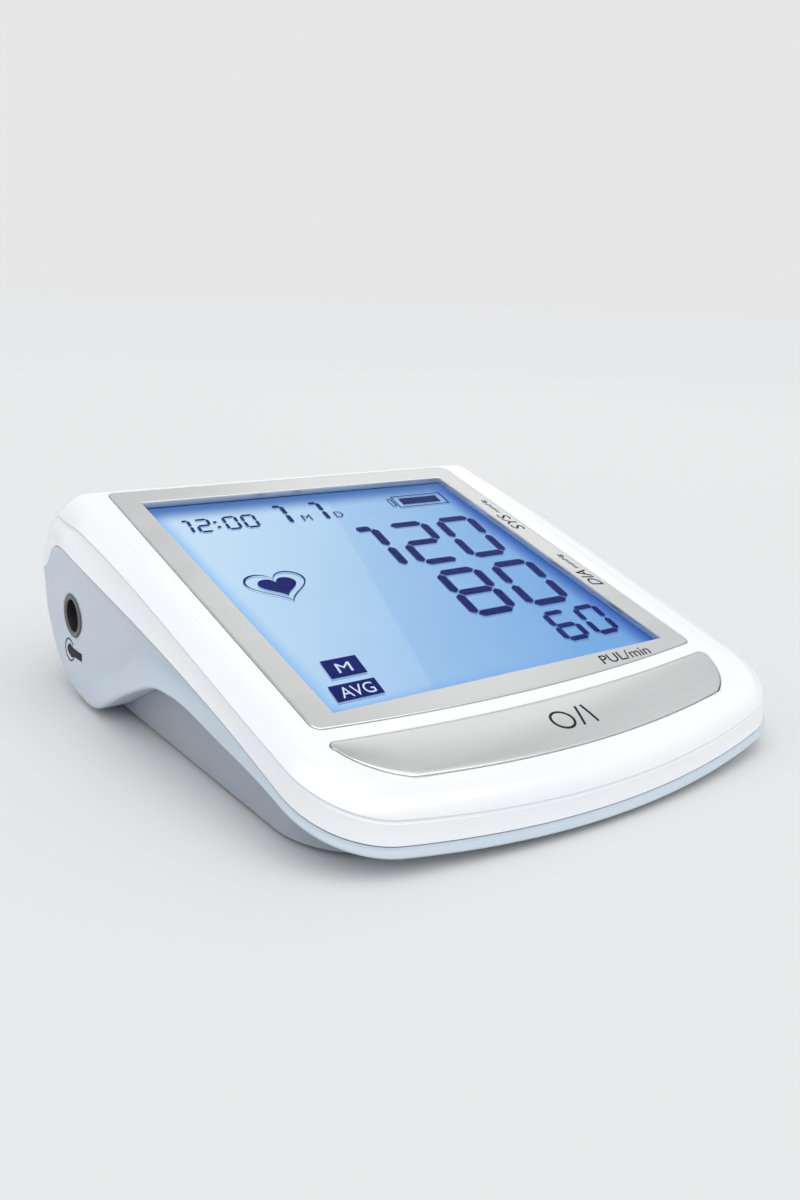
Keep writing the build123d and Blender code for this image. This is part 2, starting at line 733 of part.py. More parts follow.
def diaphragm():
    """Rubber diaphragm with three cups."""
    x = HEAD_X[0]
    sheet = rod_x(PUMP_Y, PUMP_Z, 11.8, (x - 1.4, x))
    for index in range(3):
        cup = Rot(index * 120, 0, 0) * Pos(x + 1.6, 0, 6.2) * Rot(0, 90, 0) * Cylinder(3.6, 4.0)
        sheet += Pos(0, PUMP_Y, PUMP_Z) * cup
    return sheet


def pump_cover():
    """End of the pump head with valves and the outlet nozzle."""
    x = HEAD_X[0] - 1.4
    cover = square_end((x - 7.0, x))
    cover += rod_x(PUMP_Y, PUMP_Z + 6.0, NOZZLE_RADIUS, (x - 7.0 - NOZZLE_LENGTH, x - 6.9))
    return cover - rod_x(PUMP_Y, PUMP_Z + 6.0, 0.5, (x - 14.0, x - 3.0))


def pump_cushions():
    """Two foam rings that hold the motor quietly in the lower shell."""
    rings = []
    for x in (MOTOR_X[0] + 4, MOTOR_X[1] - 8):
        ring = rod_x(PUMP_Y, PUMP_Z, PUMP_RADIUS + 1.5, (x, x + 4))
        rings.append(ring - rod_x(PUMP_Y, PUMP_Z, PUMP_RADIUS, (x - 1, x + 5)))
    return group(rings)


def pump_cradle():
    """Two ribs, shaped to the floor of the foot, that carry the foam rings."""
    ribs = []
    for x in (MOTOR_X[0] + 4, MOTOR_X[1] - 8):
        rib = block((x, x + 4), (38.5, 60.0), (2.0, 15.0)) & cavity()
        ribs.append(rib - rod_x(PUMP_Y, PUMP_Z, PUMP_RADIUS + 1.55, MOTOR_X))
    return group(ribs)


def valve_frame():
    """Bent steel yoke of the release valve."""
    low, high = VALVE_Z[0], VALVE_Z[1] - 4
    yoke = block((VALVE_X - 6, VALVE_X + 6), (SOCKET_Y - 6, SOCKET_Y + 6), (low, high))
    yoke -= block((VALVE_X - 5.2, VALVE_X + 7), (SOCKET_Y - 7, SOCKET_Y + 7), (low + 0.8, high - 0.8))
    return yoke - rod_z(VALVE_X, SOCKET_Y, 2.3, (low + 2, high + 1))


def valve_coil():
    """Coil of the release valve on its bobbin, with a bore for the plunger."""
    low, high = VALVE_Z[0] + 0.85, VALVE_Z[1] - 4.85
    coil = rod_z(VALVE_X, SOCKET_Y, 5.0, (low, high))
    waist = rod_z(VALVE_X, SOCKET_Y, 6.0, (low + 1, high - 1)) - rod_z(VALVE_X, SOCKET_Y, 4.4, (low + 1, high - 1))
    return coil - waist - rod_z(VALVE_X, SOCKET_Y, 2.1, (low + 2.0, high + 1))


def valve_plunger():
    """Iron plunger with a sealing rim, which the coil pulls down against its spring."""
    top = VALVE_Z[1] - 1.6
    plunger = rod_z(VALVE_X, SOCKET_Y, 2.0, (VALVE_Z[0] + 4.4, top))
    return plunger + rod_z(VALVE_X, SOCKET_Y, 2.8, (top - 0.7, top))


def valve_spring():
    """Return spring between the yoke and the plunger's rim."""
    low, high = VALVE_Z[1] - 3.95, VALVE_Z[1] - 2.35
    return rod_z(VALVE_X, SOCKET_Y, 2.75, (low, high)) - rod_z(VALVE_X, SOCKET_Y, 2.15, (low - 1, high + 1))


def valve_seat():
    """Plastic cap of the release valve, with its seat and a hose nozzle to the left."""
    top = VALVE_Z[1]
    cap = rod_z(VALVE_X, SOCKET_Y, 5.0, (top - 3.98, top))
    cap -= rod_z(VALVE_X, SOCKET_Y, 3.2, (top - 5, top - 1.2))
    cap += rod_x(SOCKET_Y, SOCKET_Z, NOZZLE_RADIUS, (VALVE_X - 4.6 - NOZZLE_LENGTH, VALVE_X - 4.2))
    return cap - rod_x(SOCKET_Y, SOCKET_Z, 0.5, (VALVE_X - 10, VALVE_X - 3))


def manifold():
    """Small block that joins socket, pump, valve and sensor, with four hose nozzles."""
    body = Pos(MANIFOLD_X, SOCKET_Y, MANIFOLD_Z) * Box(7, 7, 8)
    body = fillet(body.edges().filter_by(Axis.Z), 1.5)
    reach = 3.5 + 3.0
    body += rod_x(SOCKET_Y, SOCKET_Z, NOZZLE_RADIUS, (MANIFOLD_X - reach, MANIFOLD_X + reach))
    body += rod_z(MANIFOLD_X, SOCKET_Y, NOZZLE_RADIUS, (MANIFOLD_Z, MANIFOLD_Z + 6.5))
    rear = Pos(MANIFOLD_X, SOCKET_Y + reach / 2, SOCKET_Z) * Rot(90, 0, 0) * Cylinder(NOZZLE_RADIUS, reach)
    return body + rear


def hose(points, radii):
    """A soft tube along straight runs joined by arcs, hollow all the way."""
    path = FilletPolyline(*points, radius=radii) if radii else Line(*points)
    start = Plane(origin=path @ 0, z_dir=path % 0)
    return sweep(start * (Circle(TUBE_RADIUS) - Circle(TUBE_BORE)), path)


def hose_socket():
    """Hose from the socket's nozzle to the manifold."""
    start = -HALF_WIDTH + SOCKET_DEPTH + 2.1
    return hose([(start, SOCKET_Y, SOCKET_Z), (MANIFOLD_X - 3.6, SOCKET_Y, SOCKET_Z)], None)


def hose_valve():
    """Hose from the manifold to the release valve."""
    return hose([(MANIFOLD_X + 3.6, SOCKET_Y, SOCKET_Z), (VALVE_X - 5.1, SOCKET_Y, SOCKET_Z)], None)


def hose_pump():
    """Hose from the manifold's top, over the valve, to the pump's outlet."""
    top = MANIFOLD_Z + 10.2
    outlet = (HEAD_X[0] - 8.5, PUMP_Y, PUMP_Z + 6.0)
    points = [
        (MANIFOLD_X, SOCKET_Y, MANIFOLD_Z + 4.1),
        (MANIFOLD_X, SOCKET_Y, top),
        (MANIFOLD_X + 15.0, SOCKET_Y, top),
        (outlet[0] - 8.5, outlet[1], outlet[2]),
        outlet,
    ]
    return hose(points, [3.4, 8.0, 8.0])


def hose_sensor():
    """Hose from the manifold's back to the pressure sensor."""
    points = [
        (MANIFOLD_X, SOCKET_Y + 3.6, SOCKET_Z),
        (MANIFOLD_X, SENSOR_Y, SOCKET_Z),
        (SENSOR_X - 4.6, SENSOR_Y, SOCKET_Z),
    ]
    return hose(points, [4.6])


NODES = {
    "top_cover": top_cover,
    "lower_shell": lower_shell,
    "base_pan": base_pan,
    "battery_door": battery_door,
    "battery_cells": battery_cells,
    "battery_springs": battery_springs,
    "battery_contacts": battery_contacts,
    "rubber_feet": rubber_feet,
    "housing_screws": housing_screws,
    "bezel_frame": bezel_frame,
    "window_lens": window_lens,
    "polariser": polariser,
    "front_glass": front_glass,
    "rear_glass": rear_glass,
    "diffuser": diffuser,
    "light_guide": light_guide,
    "reflector": reflector,
    "led_strip": led_strip,
    "backlight_leds": backlight_leds,
    "lcd_holder": lcd_holder,
    "contact_strip": contact_strip,
    "main_board": main_board,
    "controller_chip": controller_chip,
    "board_chips": board_chips,
    "crystal": crystal,
    "capacitors": capacitors,
    "small_parts": small_parts,
    "buzzer": buzzer,
    "pressure_sensor": pressure_sensor,
    "sensor_board": sensor_board,
    "board_screws": board_screws,
    "power_button": power_button,
    "switch_body": switch_body,
    "switch_plunger": switch_plunger,
    "button_board": button_board,
    "air_socket": air_socket,
    "pump_motor": pump_motor,
    "pump_magnets": pump_magnets,
    "pump_endcap": pump_endcap,
    "pump_rotor": pump_rotor,
    "pump_head": pump_head,
    "wobble_plate": wobble_plate,
    "diaphragm": diaphragm,
    "pump_cover": pump_cover,
    "pump_cushions": pump_cushions,
    "pump_cradle": pump_cradle,
    "valve_frame": valve_frame,
    "valve_coil": valve_coil,
    "valve_plunger": valve_plunger,
    "valve_spring": valve_spring,
    "valve_seat": valve_seat,
    "manifold": manifold,
    "hose_socket": hose_socket,
    "hose_pump": hose_pump,
    "hose_valve": hose_valve,
    "hose_sensor": hose_sensor,
}

os.makedirs("parts", exist_ok=True)
for name, make in NODES.items():
    export_step(make(), f"parts/{name}.step")
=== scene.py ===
import json
import math

import bmesh
import bpy
import numpy as np
from mathutils import Matrix, Vector


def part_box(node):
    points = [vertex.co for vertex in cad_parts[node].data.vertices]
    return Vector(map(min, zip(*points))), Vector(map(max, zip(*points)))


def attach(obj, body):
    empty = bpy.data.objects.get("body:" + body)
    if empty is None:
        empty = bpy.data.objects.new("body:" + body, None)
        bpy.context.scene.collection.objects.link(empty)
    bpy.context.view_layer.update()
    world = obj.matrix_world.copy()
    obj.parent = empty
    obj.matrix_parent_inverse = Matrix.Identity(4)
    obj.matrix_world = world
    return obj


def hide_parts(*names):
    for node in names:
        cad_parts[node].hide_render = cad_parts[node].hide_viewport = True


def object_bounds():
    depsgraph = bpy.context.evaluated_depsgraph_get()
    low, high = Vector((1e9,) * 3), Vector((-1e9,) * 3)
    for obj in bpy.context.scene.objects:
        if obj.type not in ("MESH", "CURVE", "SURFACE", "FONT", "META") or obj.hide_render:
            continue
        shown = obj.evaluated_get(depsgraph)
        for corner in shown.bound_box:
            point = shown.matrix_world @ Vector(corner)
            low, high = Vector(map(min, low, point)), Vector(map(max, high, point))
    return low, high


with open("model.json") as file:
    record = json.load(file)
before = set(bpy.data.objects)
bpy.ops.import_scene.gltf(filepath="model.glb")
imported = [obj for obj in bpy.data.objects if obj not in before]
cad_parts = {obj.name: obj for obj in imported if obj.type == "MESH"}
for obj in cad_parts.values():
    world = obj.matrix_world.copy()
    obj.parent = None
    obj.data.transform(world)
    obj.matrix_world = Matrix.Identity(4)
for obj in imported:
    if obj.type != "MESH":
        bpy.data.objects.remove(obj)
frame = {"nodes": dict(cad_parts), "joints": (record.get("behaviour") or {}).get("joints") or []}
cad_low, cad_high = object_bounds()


# Camera. It stands at the front left, a little above the monitor, and looks slightly down on the screen.
camera_data = bpy.data.cameras.new("studio_camera")
camera_data.lens = 32.305
camera_data.clip_start = 0.01
camera_data.clip_end = 20.0
camera = bpy.data.objects.new("studio_camera", camera_data)
camera_right = Vector((0.80684324, -0.58939754, 0.04018109))
camera_up = Vector((0.13252948, 0.24686586, 0.95994436))
camera_back = Vector((-0.57570819, -0.76919944, 0.2772946))
camera.matrix_world = Matrix.Translation((-0.157147, -0.201784, 0.102330)) @ Matrix(
    (camera_right, camera_up, camera_back)
).transposed().to_4x4()
bpy.context.scene.collection.objects.link(camera)
bpy.context.scene.camera = camera
bpy.context.scene.view_settings.view_transform = "Standard"


# Floor. A pale sheet of studio card that lies flat under the monitor and runs on to the horizon.
def studio_card(name, half, height):
    mesh = bpy.data.meshes.new(name)
    corners = [(-half, -half, height), (half, -half, height), (half, half, height), (-half, half, height)]
    mesh.from_pydata(corners, [], [(0, 1, 2, 3)])
    card = bpy.data.objects.new(name, mesh)
    bpy.context.scene.collection.objects.link(card)
    return card


floor = studio_card("floor", 6.0, 0.0)
card_finish = bpy.data.materials.new("pale_card")
card_finish.use_nodes = True
card_shader = card_finish.node_tree.nodes["Principled BSDF"]
card_shader.inputs["Base Color"].default_value = (0.735, 0.733, 0.733, 1)
card_shader.inputs["Roughness"].default_value = 0.9
card_shader.inputs["Specular IOR Level"].default_value = 0.1
floor.data.materials.append(card_finish)


# Studio light. A pale room with brighter walls than roof, a broad sky panel above the front, and a weak soft
# box behind on the right that lights up the edges there. The camera sees an even pale backdrop.
def add_node(tree, kind, inputs=(), **settings):
    """A node of a kind with its settings, and its inputs given as values or as sockets to link."""
    node = tree.nodes.new(kind)
    for setting, value in settings.items():
        setattr(node, setting, value)
    for socket, value in dict(inputs).items():
        if isinstance(value, bpy.types.NodeSocket):
            tree.links.new(value, node.inputs[socket])
        else:
            node.inputs[socket].default_value = value
    return node


def hang_lamp(light, way, place=(0, 0, 0)):
    """Put a light at a place, shining one way."""
    lamp = bpy.data.objects.new(light.name, light)
    lamp.location = place
    lamp.rotation_euler = Vector(way).to_track_quat("-Z", "Y").to_euler()
    bpy.context.scene.collection.objects.link(lamp)


WALL_TONES = ((0.40, 0.66), (0.55, 0.84), (0.67, 0.80), (0.77, 0.50), (0.87, 0.38))
world = bpy.data.worlds.new("studio")
world.use_nodes = True
studio = world.node_tree
heading = add_node(studio, "ShaderNodeTexCoord")
level = add_node(studio, "ShaderNodeSeparateXYZ", {0: heading.outputs["Generated"]})
walls_to_roof = add_node(studio, "ShaderNodeValToRGB", {"Fac": level.outputs["Z"]})
walls_to_roof.color_ramp.interpolation = "B_SPLINE"
walls_to_roof.color_ramp.elements[0].color = (0.60, 0.61, 0.62, 1)
walls_to_roof.color_ramp.elements[1].color = (0.42, 0.43, 0.44, 1)
for stop, tone in WALL_TONES:
    walls_to_roof.color_ramp.elements.new(stop).color = (tone * 0.97, tone * 0.985, tone, 1)
room = studio.nodes["Background"]
studio.links.new(walls_to_roof.outputs["Color"], room.inputs["Color"])
backdrop = add_node(studio, "ShaderNodeBackground", {"Color": (0.80, 0.80, 0.805, 1)})
ray = add_node(studio, "ShaderNodeLightPath")
shown = {0: ray.outputs["Is Camera Ray"], 1: room.outputs[0], 2: backdrop.outputs[0]}
either = add_node(studio, "ShaderNodeMixShader", shown)
studio.links.new(either.outputs[0], studio.nodes["World Output"].inputs[0])
bpy.context.scene.world = world
sky = bpy.data.lights.new("sky_panel", "SUN")
sky.energy = 1.75
sky.angle = math.radians(80)
hang_lamp(sky, (0.05, 0.36, -1.0))
soft_box = bpy.data.lights.new("box_right", "AREA")
soft_box.shape = "RECTANGLE"
soft_box.size, soft_box.size_y = 0.45, 0.5
soft_box.energy = 0.2
soft_box.color = (1.0, 0.98, 0.95)
BOX_PLACE, BOX_TARGET = Vector((0.62, 0.58, 0.66)), Vector((0, 0.03, 0.03))
hang_lamp(soft_box, BOX_TARGET - BOX_PLACE, BOX_PLACE)


# Top cover. One moulding of glossy white plastic: a tilted face with a soft raised rim all round, a fine
# groove outside the rim and a skirt below it, which meets the lower shell. The screen frame and the button
# drop into two openings in the face.
MM = 0.001
press_axis = next(j for j in frame["joints"] if j["name"] == "power_button_press")["axis"]
FACE_UP = np.array((0.0, -press_axis[1], -press_axis[2]))
FACE_BACK = np.array((0.0, FACE_UP[2], -FACE_UP[1]))
FACE_TILT = math.atan2(FACE_BACK[2], FACE_BACK[1])
FRAME_BACK_EDGE = 52.8
FRAME_THICK = 1.6
frame_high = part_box("bezel_frame")[1] / MM
FACE_ORIGIN = np.array((0.0, frame_high.y - FRAME_THICK * FACE_BACK[2], frame_high.z))
FACE_ORIGIN -= FRAME_BACK_EDGE * FACE_BACK
HALF_WIDTH = cad_high.x / MM
REAR = cad_high.y / MM
FRONT = cad_low.y / MM
SIDE_STEPS, FRONT_CORNER_STEPS, FRONT_STEPS, REAR_CORNER_STEPS, REAR_STEPS = 60, 28, 48, 16, 40


def on_face(x, v, n):
    """Points given as right, back along the face, and height above it."""
    x, v, n = np.broadcast_arrays(np.asarray(x, float), v, n)
    across = np.stack([x, np.zeros_like(x), np.zeros_like(x)], -1)
    return FACE_ORIGIN + across + v[..., None] * FACE_BACK + n[..., None] * FACE_UP


def face_height(y, n):
    """Height above the table of a plane at distance n from the face."""
    return FACE_ORIGIN[2] + ((y - FACE_ORIGIN[1]) * FACE_BACK[2] + n) / FACE_UP[2]


def smooth_through(stops, values):
    """A smooth curve through a few stops, flat where they turn round."""
    x, y = np.array(stops, float), np.array(values, float)
    slope = np.diff(y) / np.diff(x)
    tangent = np.concatenate([slope[:1], (slope[1:] + slope[:-1]) / 2, slope[-1:]])
    flat = np.concatenate([[False], slope[1:] * slope[:-1] <= 0, [False]])
    tangent[flat] = 0

    def curve(at):
        at = np.clip(at, x[0], x[-1])
        k = np.clip(np.searchsorted(x, at) - 1, 0, len(x) - 2)
        h = x[k + 1] - x[k]
        t = (at - x[k]) / h
        rise = y[k] * (1 + 2 * t) * (1 - t) ** 2 + y[k + 1] * t**2 * (3 - 2 * t)
        return rise + h * (tangent[k] * t * (1 - t) ** 2 - tangent[k + 1] * t**2 * (1 - t))

    return curve


def housing_outline():
    """Outline of the housing from above and its outward directions, from the back left round the front."""
    taper, taper_end, corner_y, radius, rear_radius, bow = 0.0489, 41.0, FRONT + 9.7, 20.0, 6.2, 229.4

    def half(y):
        return HALF_WIDTH - taper * ((taper_end - y) + np.hypot(taper_end - y, 4.0)) / 2

    edge = np.array((half(corner_y), corner_y))
    along = np.array((taper, 1.0)) / math.hypot(taper, 1.0)
    outward = np.array((along[1], -along[0]))
    start = edge - radius * outward
    middle = np.array((0.0, FRONT + bow))
    gap = start - middle
    b, c = gap @ along, gap @ gap - (bow - radius) ** 2
    centre = start + along * (-b - math.sqrt(b * b - c))
    tangent_y = (centre + radius * outward)[1]
    meet = math.atan2(centre[0], middle[1] - centre[1])
    side_y = np.linspace(REAR - rear_radius, tangent_y, SIDE_STEPS, endpoint=False)
    side = np.stack([-half(side_y), side_y], 1)
    turn = np.linspace(math.pi + math.atan(taper), 1.5 * math.pi - meet, FRONT_CORNER_STEPS, endpoint=False)
    corner = np.stack([-centre[0] + radius * np.cos(turn), centre[1] + radius * np.sin(turn)], 1)
    sweep = np.linspace(-meet, meet, FRONT_STEPS, endpoint=False)
    front = np.stack([bow * np.sin(sweep), middle[1] - bow * np.cos(sweep)], 1)
    other = np.concatenate([front[:1], corner[::-1], side[::-1]]) * (-1, 1)
    swing = np.linspace(0, math.pi / 2, REAR_CORNER_STEPS + 1)[1:-1]
    corner_x = HALF_WIDTH - rear_radius * (1 - np.cos(swing))
    corner_y = REAR - rear_radius * (1 - np.sin(swing))
    back_right = np.stack([corner_x, corner_y], 1)
    back_x = np.linspace(HALF_WIDTH - rear_radius, rear_radius - HALF_WIDTH, REAR_STEPS)
    back = np.stack([back_x, np.full_like(back_x, REAR)], 1)
    loop = np.concatenate([side, corner, front, other, back_right, back, back_right[::-1] * (-1, 1)])
    step = np.roll(loop, -1, 0) - np.roll(loop, 1, 0)
    step /= np.linalg.norm(step, axis=1)[:, None]
    return loop, np.stack([step[:, 1], -step[:, 0]], 1)


outline, outward = housing_outline()
STATIONS = len(outline)
parting_height = smooth_through(
    [-70.9, -58.0, -47.0, -24.75, 21.55, 49.0, 53.5, 56.2, 58.6, 60.6, 62.4, 64.4, 67.0, 70.9],
    [4.1, 8.7, 12.6, 20.0, 31.5, 37.65, 38.25, 38.0, 36.9, 34.9, 32.5, 30.9, 30.5, 30.5],
)


def flat_ring(half, back, front, sag, front_radius, back_radius):
    """A rounded rectangle on the face with a bowed front, in step with the housing's stations."""
    bow = (half**2 + sag**2) / (2 * sag)
    x0 = half - front_radius
    lean = math.asin(x0 / (bow - front_radius))
    v0 = front + bow - (bow - front_radius) * math.cos(lean)
    side_v = np.linspace(back - back_radius, v0, SIDE_STEPS, endpoint=False)
    side = np.stack([np.full_like(side_v, -half), side_v], 1)
    turn = np.linspace(math.pi, 1.5 * math.pi - lean, FRONT_CORNER_STEPS, endpoint=False)
    corner = np.stack([-x0 + front_radius * np.cos(turn), v0 + front_radius * np.sin(turn)], 1)
    sweep = np.linspace(-lean, lean, FRONT_STEPS, endpoint=False)
    low = np.stack([bow * np.sin(sweep), front + bow - bow * np.cos(sweep)], 1)
    other = np.concatenate([low[:1], corner[::-1], side[::-1]]) * (-1, 1)
    swing = np.linspace(0, math.pi / 2, REAR_CORNER_STEPS + 1)[1:-1]
    x1, v1 = half - back_radius, back - back_radius
    back_right = np.stack([x1 + back_radius * np.cos(swing), v1 + back_radius * np.sin(swing)], 1)
    back_x = np.linspace(x1, -x1, REAR_STEPS)
    rear = np.stack([back_x, np.full_like(back_x, back)], 1)
    return np.concatenate([side, corner, low, other, back_right, rear, back_right[::-1] * (-1, 1)])


plateau = flat_ring(56.3, 53.6, -77.1, 8.5, 13.0, 1.6)
plateau_ring = on_face(plateau[:, 0], plateau[:, 1], 0.0)
plateau_gap = (HALF_WIDTH - plateau_ring[:, 0].max(), REAR - plateau_ring[:, 1].max())
near_back = smooth_through([FRONT, 44.0, 60.0, REAR], [0.0, 0.0, 1.0, 1.0])


def ring(inset, height):
    """A closed line round the housing, at an inset and a height that change along it from front to back."""
    size = inset(outline[:, 1])[:, None]
    straight = outline - outward * size
    drawn = outline + (plateau_ring[:, :2] - outline) * np.clip(size / plateau_gap, 0, 1)
    mix = near_back(outline[:, 1])[:, None]
    place = straight * (1 - mix) + drawn * mix
    return np.column_stack([place, height(outline[:, 1], place[:, 1])])


LENGTHWISE = [-70.9, -66.0, -55.0, -31.0, 11.0, 48.0, 62.0, 70.9]
rim_inset = smooth_through(LENGTHWISE, [3.4, 3.7, 5.2, 6.7, 8.5, 8.7, 8.4, 7.9])
rim_rise = smooth_through(LENGTHWISE, [-0.3, -0.1, 0.5, 0.8, 0.8, 0.4, 0.0, -0.1])
edge_inset = smooth_through(LENGTHWISE, [1.2, 1.25, 1.3, 1.5, 2.7, 3.4, 3.6, 3.1])
edge_rise = smooth_through(LENGTHWISE, [-3.3, -2.7, -1.5, -0.8, -0.4, -2.0, -4.7, -5.3])
skirt_swell = smooth_through(LENGTHWISE, [0.0, 0.0, 0.0, 0.0, 0.0, 0.15, 0.85, 1.0])
skirt_inset = smooth_through(LENGTHWISE, [0.8, 0.7, 0.35, 0.25, 0.6, 0.1, 0.05, 0.05])
rim_ring = ring(rim_inset, lambda y, at: face_height(at, rim_rise(y)))
edge_ring = ring(edge_inset, lambda y, at: face_height(at, edge_rise(y)))
skirt_ring = ring(skirt_inset, lambda y, at: parting_height(y) + 0.12)


def bent_rows(start, through, end, steps):
    """Rows of points on a curve that leaves start towards through and comes down on end."""
    rows = []
    for step in range(steps):
        t = step / steps
        rows.append(start * (1 - t) ** 2 + 2 * through * t * (1 - t) + end * t * t)
    return rows


def frame_outline(grow=0.0, steps=14):
    """Outline of the screen frame on the face: three straight edges, a bowed front, small round corners."""
    half, front, radius, sag = 55.0 + grow, -52.8 - grow, 2.2 + grow, 3.3
    bow = (half**2 + sag**2) / (2 * sag)
    low = front - sag
    lean = math.asin((half - radius) / (bow - radius))
    v0 = low + bow - (bow - radius) * math.cos(lean)
    sweep = np.linspace(-lean, lean, 4 * steps)
    points = [np.stack([bow * np.sin(sweep), low + bow - bow * np.cos(sweep)], 1)]
    turn = np.linspace(-math.pi / 2 + lean, 0, steps)[1:]
    points.append(np.stack([half - radius + radius * np.cos(turn), v0 + radius * np.sin(turn)], 1))
    turn = np.linspace(0, math.pi / 2, steps)
    v1 = FRAME_BACK_EDGE + grow - radius
    back = np.stack([half - radius + radius * np.cos(turn), v1 + radius * np.sin(turn)], 1)
    points += [back, back[::-1] * (-1, 1), points[1][::-1] * (-1, 1)]
    return np.concatenate(points)


def button_outline(grow=0.0):
    """Outline of the crescent button, with round tips."""
    def arc(a, b, c, steps):
        a, b, c = (np.array(p) for p in (a, b, c))
        d = 2 * (a[0] * (b[1] - c[1]) + b[0] * (c[1] - a[1]) + c[0] * (a[1] - b[1]))
        ux = ((a @ a) * (b[1] - c[1]) + (b @ b) * (c[1] - a[1]) + (c @ c) * (a[1] - b[1])) / d
        uy = ((a @ a) * (c[0] - b[0]) + (b @ b) * (a[0] - c[0]) + (c @ c) * (b[0] - a[0])) / d
        middle = np.array((ux, uy))
        first = math.atan2(*(a - middle)[::-1])
        last = math.atan2(*(c - middle)[::-1])
        swing = (last - first + math.pi) % (2 * math.pi) - math.pi
        turn = first + np.linspace(0, 1, steps) * swing
        return middle + np.linalg.norm(a - middle) * np.stack([np.cos(turn), np.sin(turn)], 1)

    low = arc((-44.0, -71.6), (0.0, -75.6), (44.0, -71.6), 50)
    right = arc((44.0, -71.6), (51.6, -65.0), (54.2, -59.7), 16)[1:]
    tip = arc((54.2, -59.7), (54.4, -57.9), (52.6, -57.4), 8)[1:]
    top = arc((52.6, -57.4), (0.0, -60.5), (-52.6, -57.4), 60)[1:]
    left = [tip[::-1][1:] * (-1, 1), [(-54.2, -59.7)], right[::-1][1:] * (-1, 1)]
    loop = np.concatenate([low, right, tip, top, *left])
    step = np.roll(loop, -1, 0) - np.roll(loop, 1, 0)
    step /= np.linalg.norm(step, axis=1)[:, None]
    return loop + grow * np.stack([step[:, 1], -step[:, 0]], 1)


def loop_faces(first, second, count):
    """Faces between two closed rings of vertices, facing right of the way round."""
    return [(first + i, second + i, second + (i + 1) % count, first + (i + 1) % count) for i in range(count)]


def new_piece(name, points, faces, sharp=35.0):
    """A mesh object from points in millimetres, shaded smooth except across sharp edges."""
    mesh = bpy.data.meshes.new(name)
    mesh.from_pydata([tuple(p) for p in np.asarray(points) * MM], [], faces)
    mesh.validate()
    bm = bmesh.new()
    bm.from_mesh(mesh)
    bmesh.ops.remove_doubles(bm, verts=bm.verts, dist=1e-7)
    bmesh.ops.recalc_face_normals(bm, faces=bm.faces)
    bm.to_mesh(mesh)
    bm.free()
    mesh.polygons.foreach_set("use_smooth", [True] * len(mesh.polygons))
    mesh.set_sharp_from_angle(angle=math.radians(sharp))
    piece = bpy.data.objects.new(name, mesh)
    bpy.context.scene.collection.objects.link(piece)
    return piece


def filled(outer, holes):
    """Triangles that fill a flat outline round its holes. Returns the 2-D points and the faces."""
    bm = bmesh.new()
    edges = []
    for loop in (outer, *holes):
        verts = [bm.verts.new((p[0], p[1], 0)) for p in loop]
        edges += [bm.edges.new((verts[i], verts[(i + 1) % len(verts)])) for i in range(len(verts))]
    made = bmesh.ops.triangle_fill(bm, edges=edges, use_beauty=True, normal=(0, 0, 1))
    bm.verts.index_update()
    flat = np.array([v.co[:2] for v in bm.verts])
    faces = [tuple(v.index for v in g.verts) for g in made["geom"] if isinstance(g, bmesh.types.BMFace)]
    bm.free()
    return flat, faces


class Mould:
    """Collects rows of points and faces of one moulded piece."""

    def __init__(self):
        self.points, self.faces = [], []

    def add(self, points):
        first = len(self.points)
        self.points.extend(points)
        return first

    def loft(self, rows, closed=True):
        starts = [self.add(row) for row in rows]
        for a, b in zip(starts, starts[1:]):
            count = len(rows[0])
            quads = loop_faces(a, b, count)
            self.faces += quads if closed else quads[:-1]

    def fill(self, outer, holes, n):
        flat, faces = filled(outer, holes)
        first = self.add(on_face(flat[:, 0], flat[:, 1], n))
        self.faces += [tuple(first + i for i in face) for face in faces]


def plain_wall(outline_of, top, bottom, edge):
    """Rows from the face down the wall of an opening, over a small round edge."""
    margin = outline_of(edge * 1.5)
    rows = [on_face(margin[:, 0], margin[:, 1], top)]
    for step in range(4):
        turn = step / 3 * math.pi / 2
        loop = outline_of(edge * (1 - math.sin(turn)))
        rows.append(on_face(loop[:, 0], loop[:, 1], top - edge * (1 - math.cos(turn))))
    loop = outline_of(0.0)
    rows.append(on_face(loop[:, 0], loop[:, 1], bottom))
    return rows


def node_group(name, kind, takes, gives):
    """An empty node group with its named sockets, and its input and output nodes."""
    tree = bpy.data.node_groups.new(name, kind)
    for way, sockets in (("INPUT", takes), ("OUTPUT", gives)):
        for socket, sort in sockets.items():
            tree.interface.new_socket(socket, in_out=way, socket_type="NodeSocket" + sort)
    return tree, tree.nodes.new("NodeGroupInput"), tree.nodes.new("NodeGroupOutput")


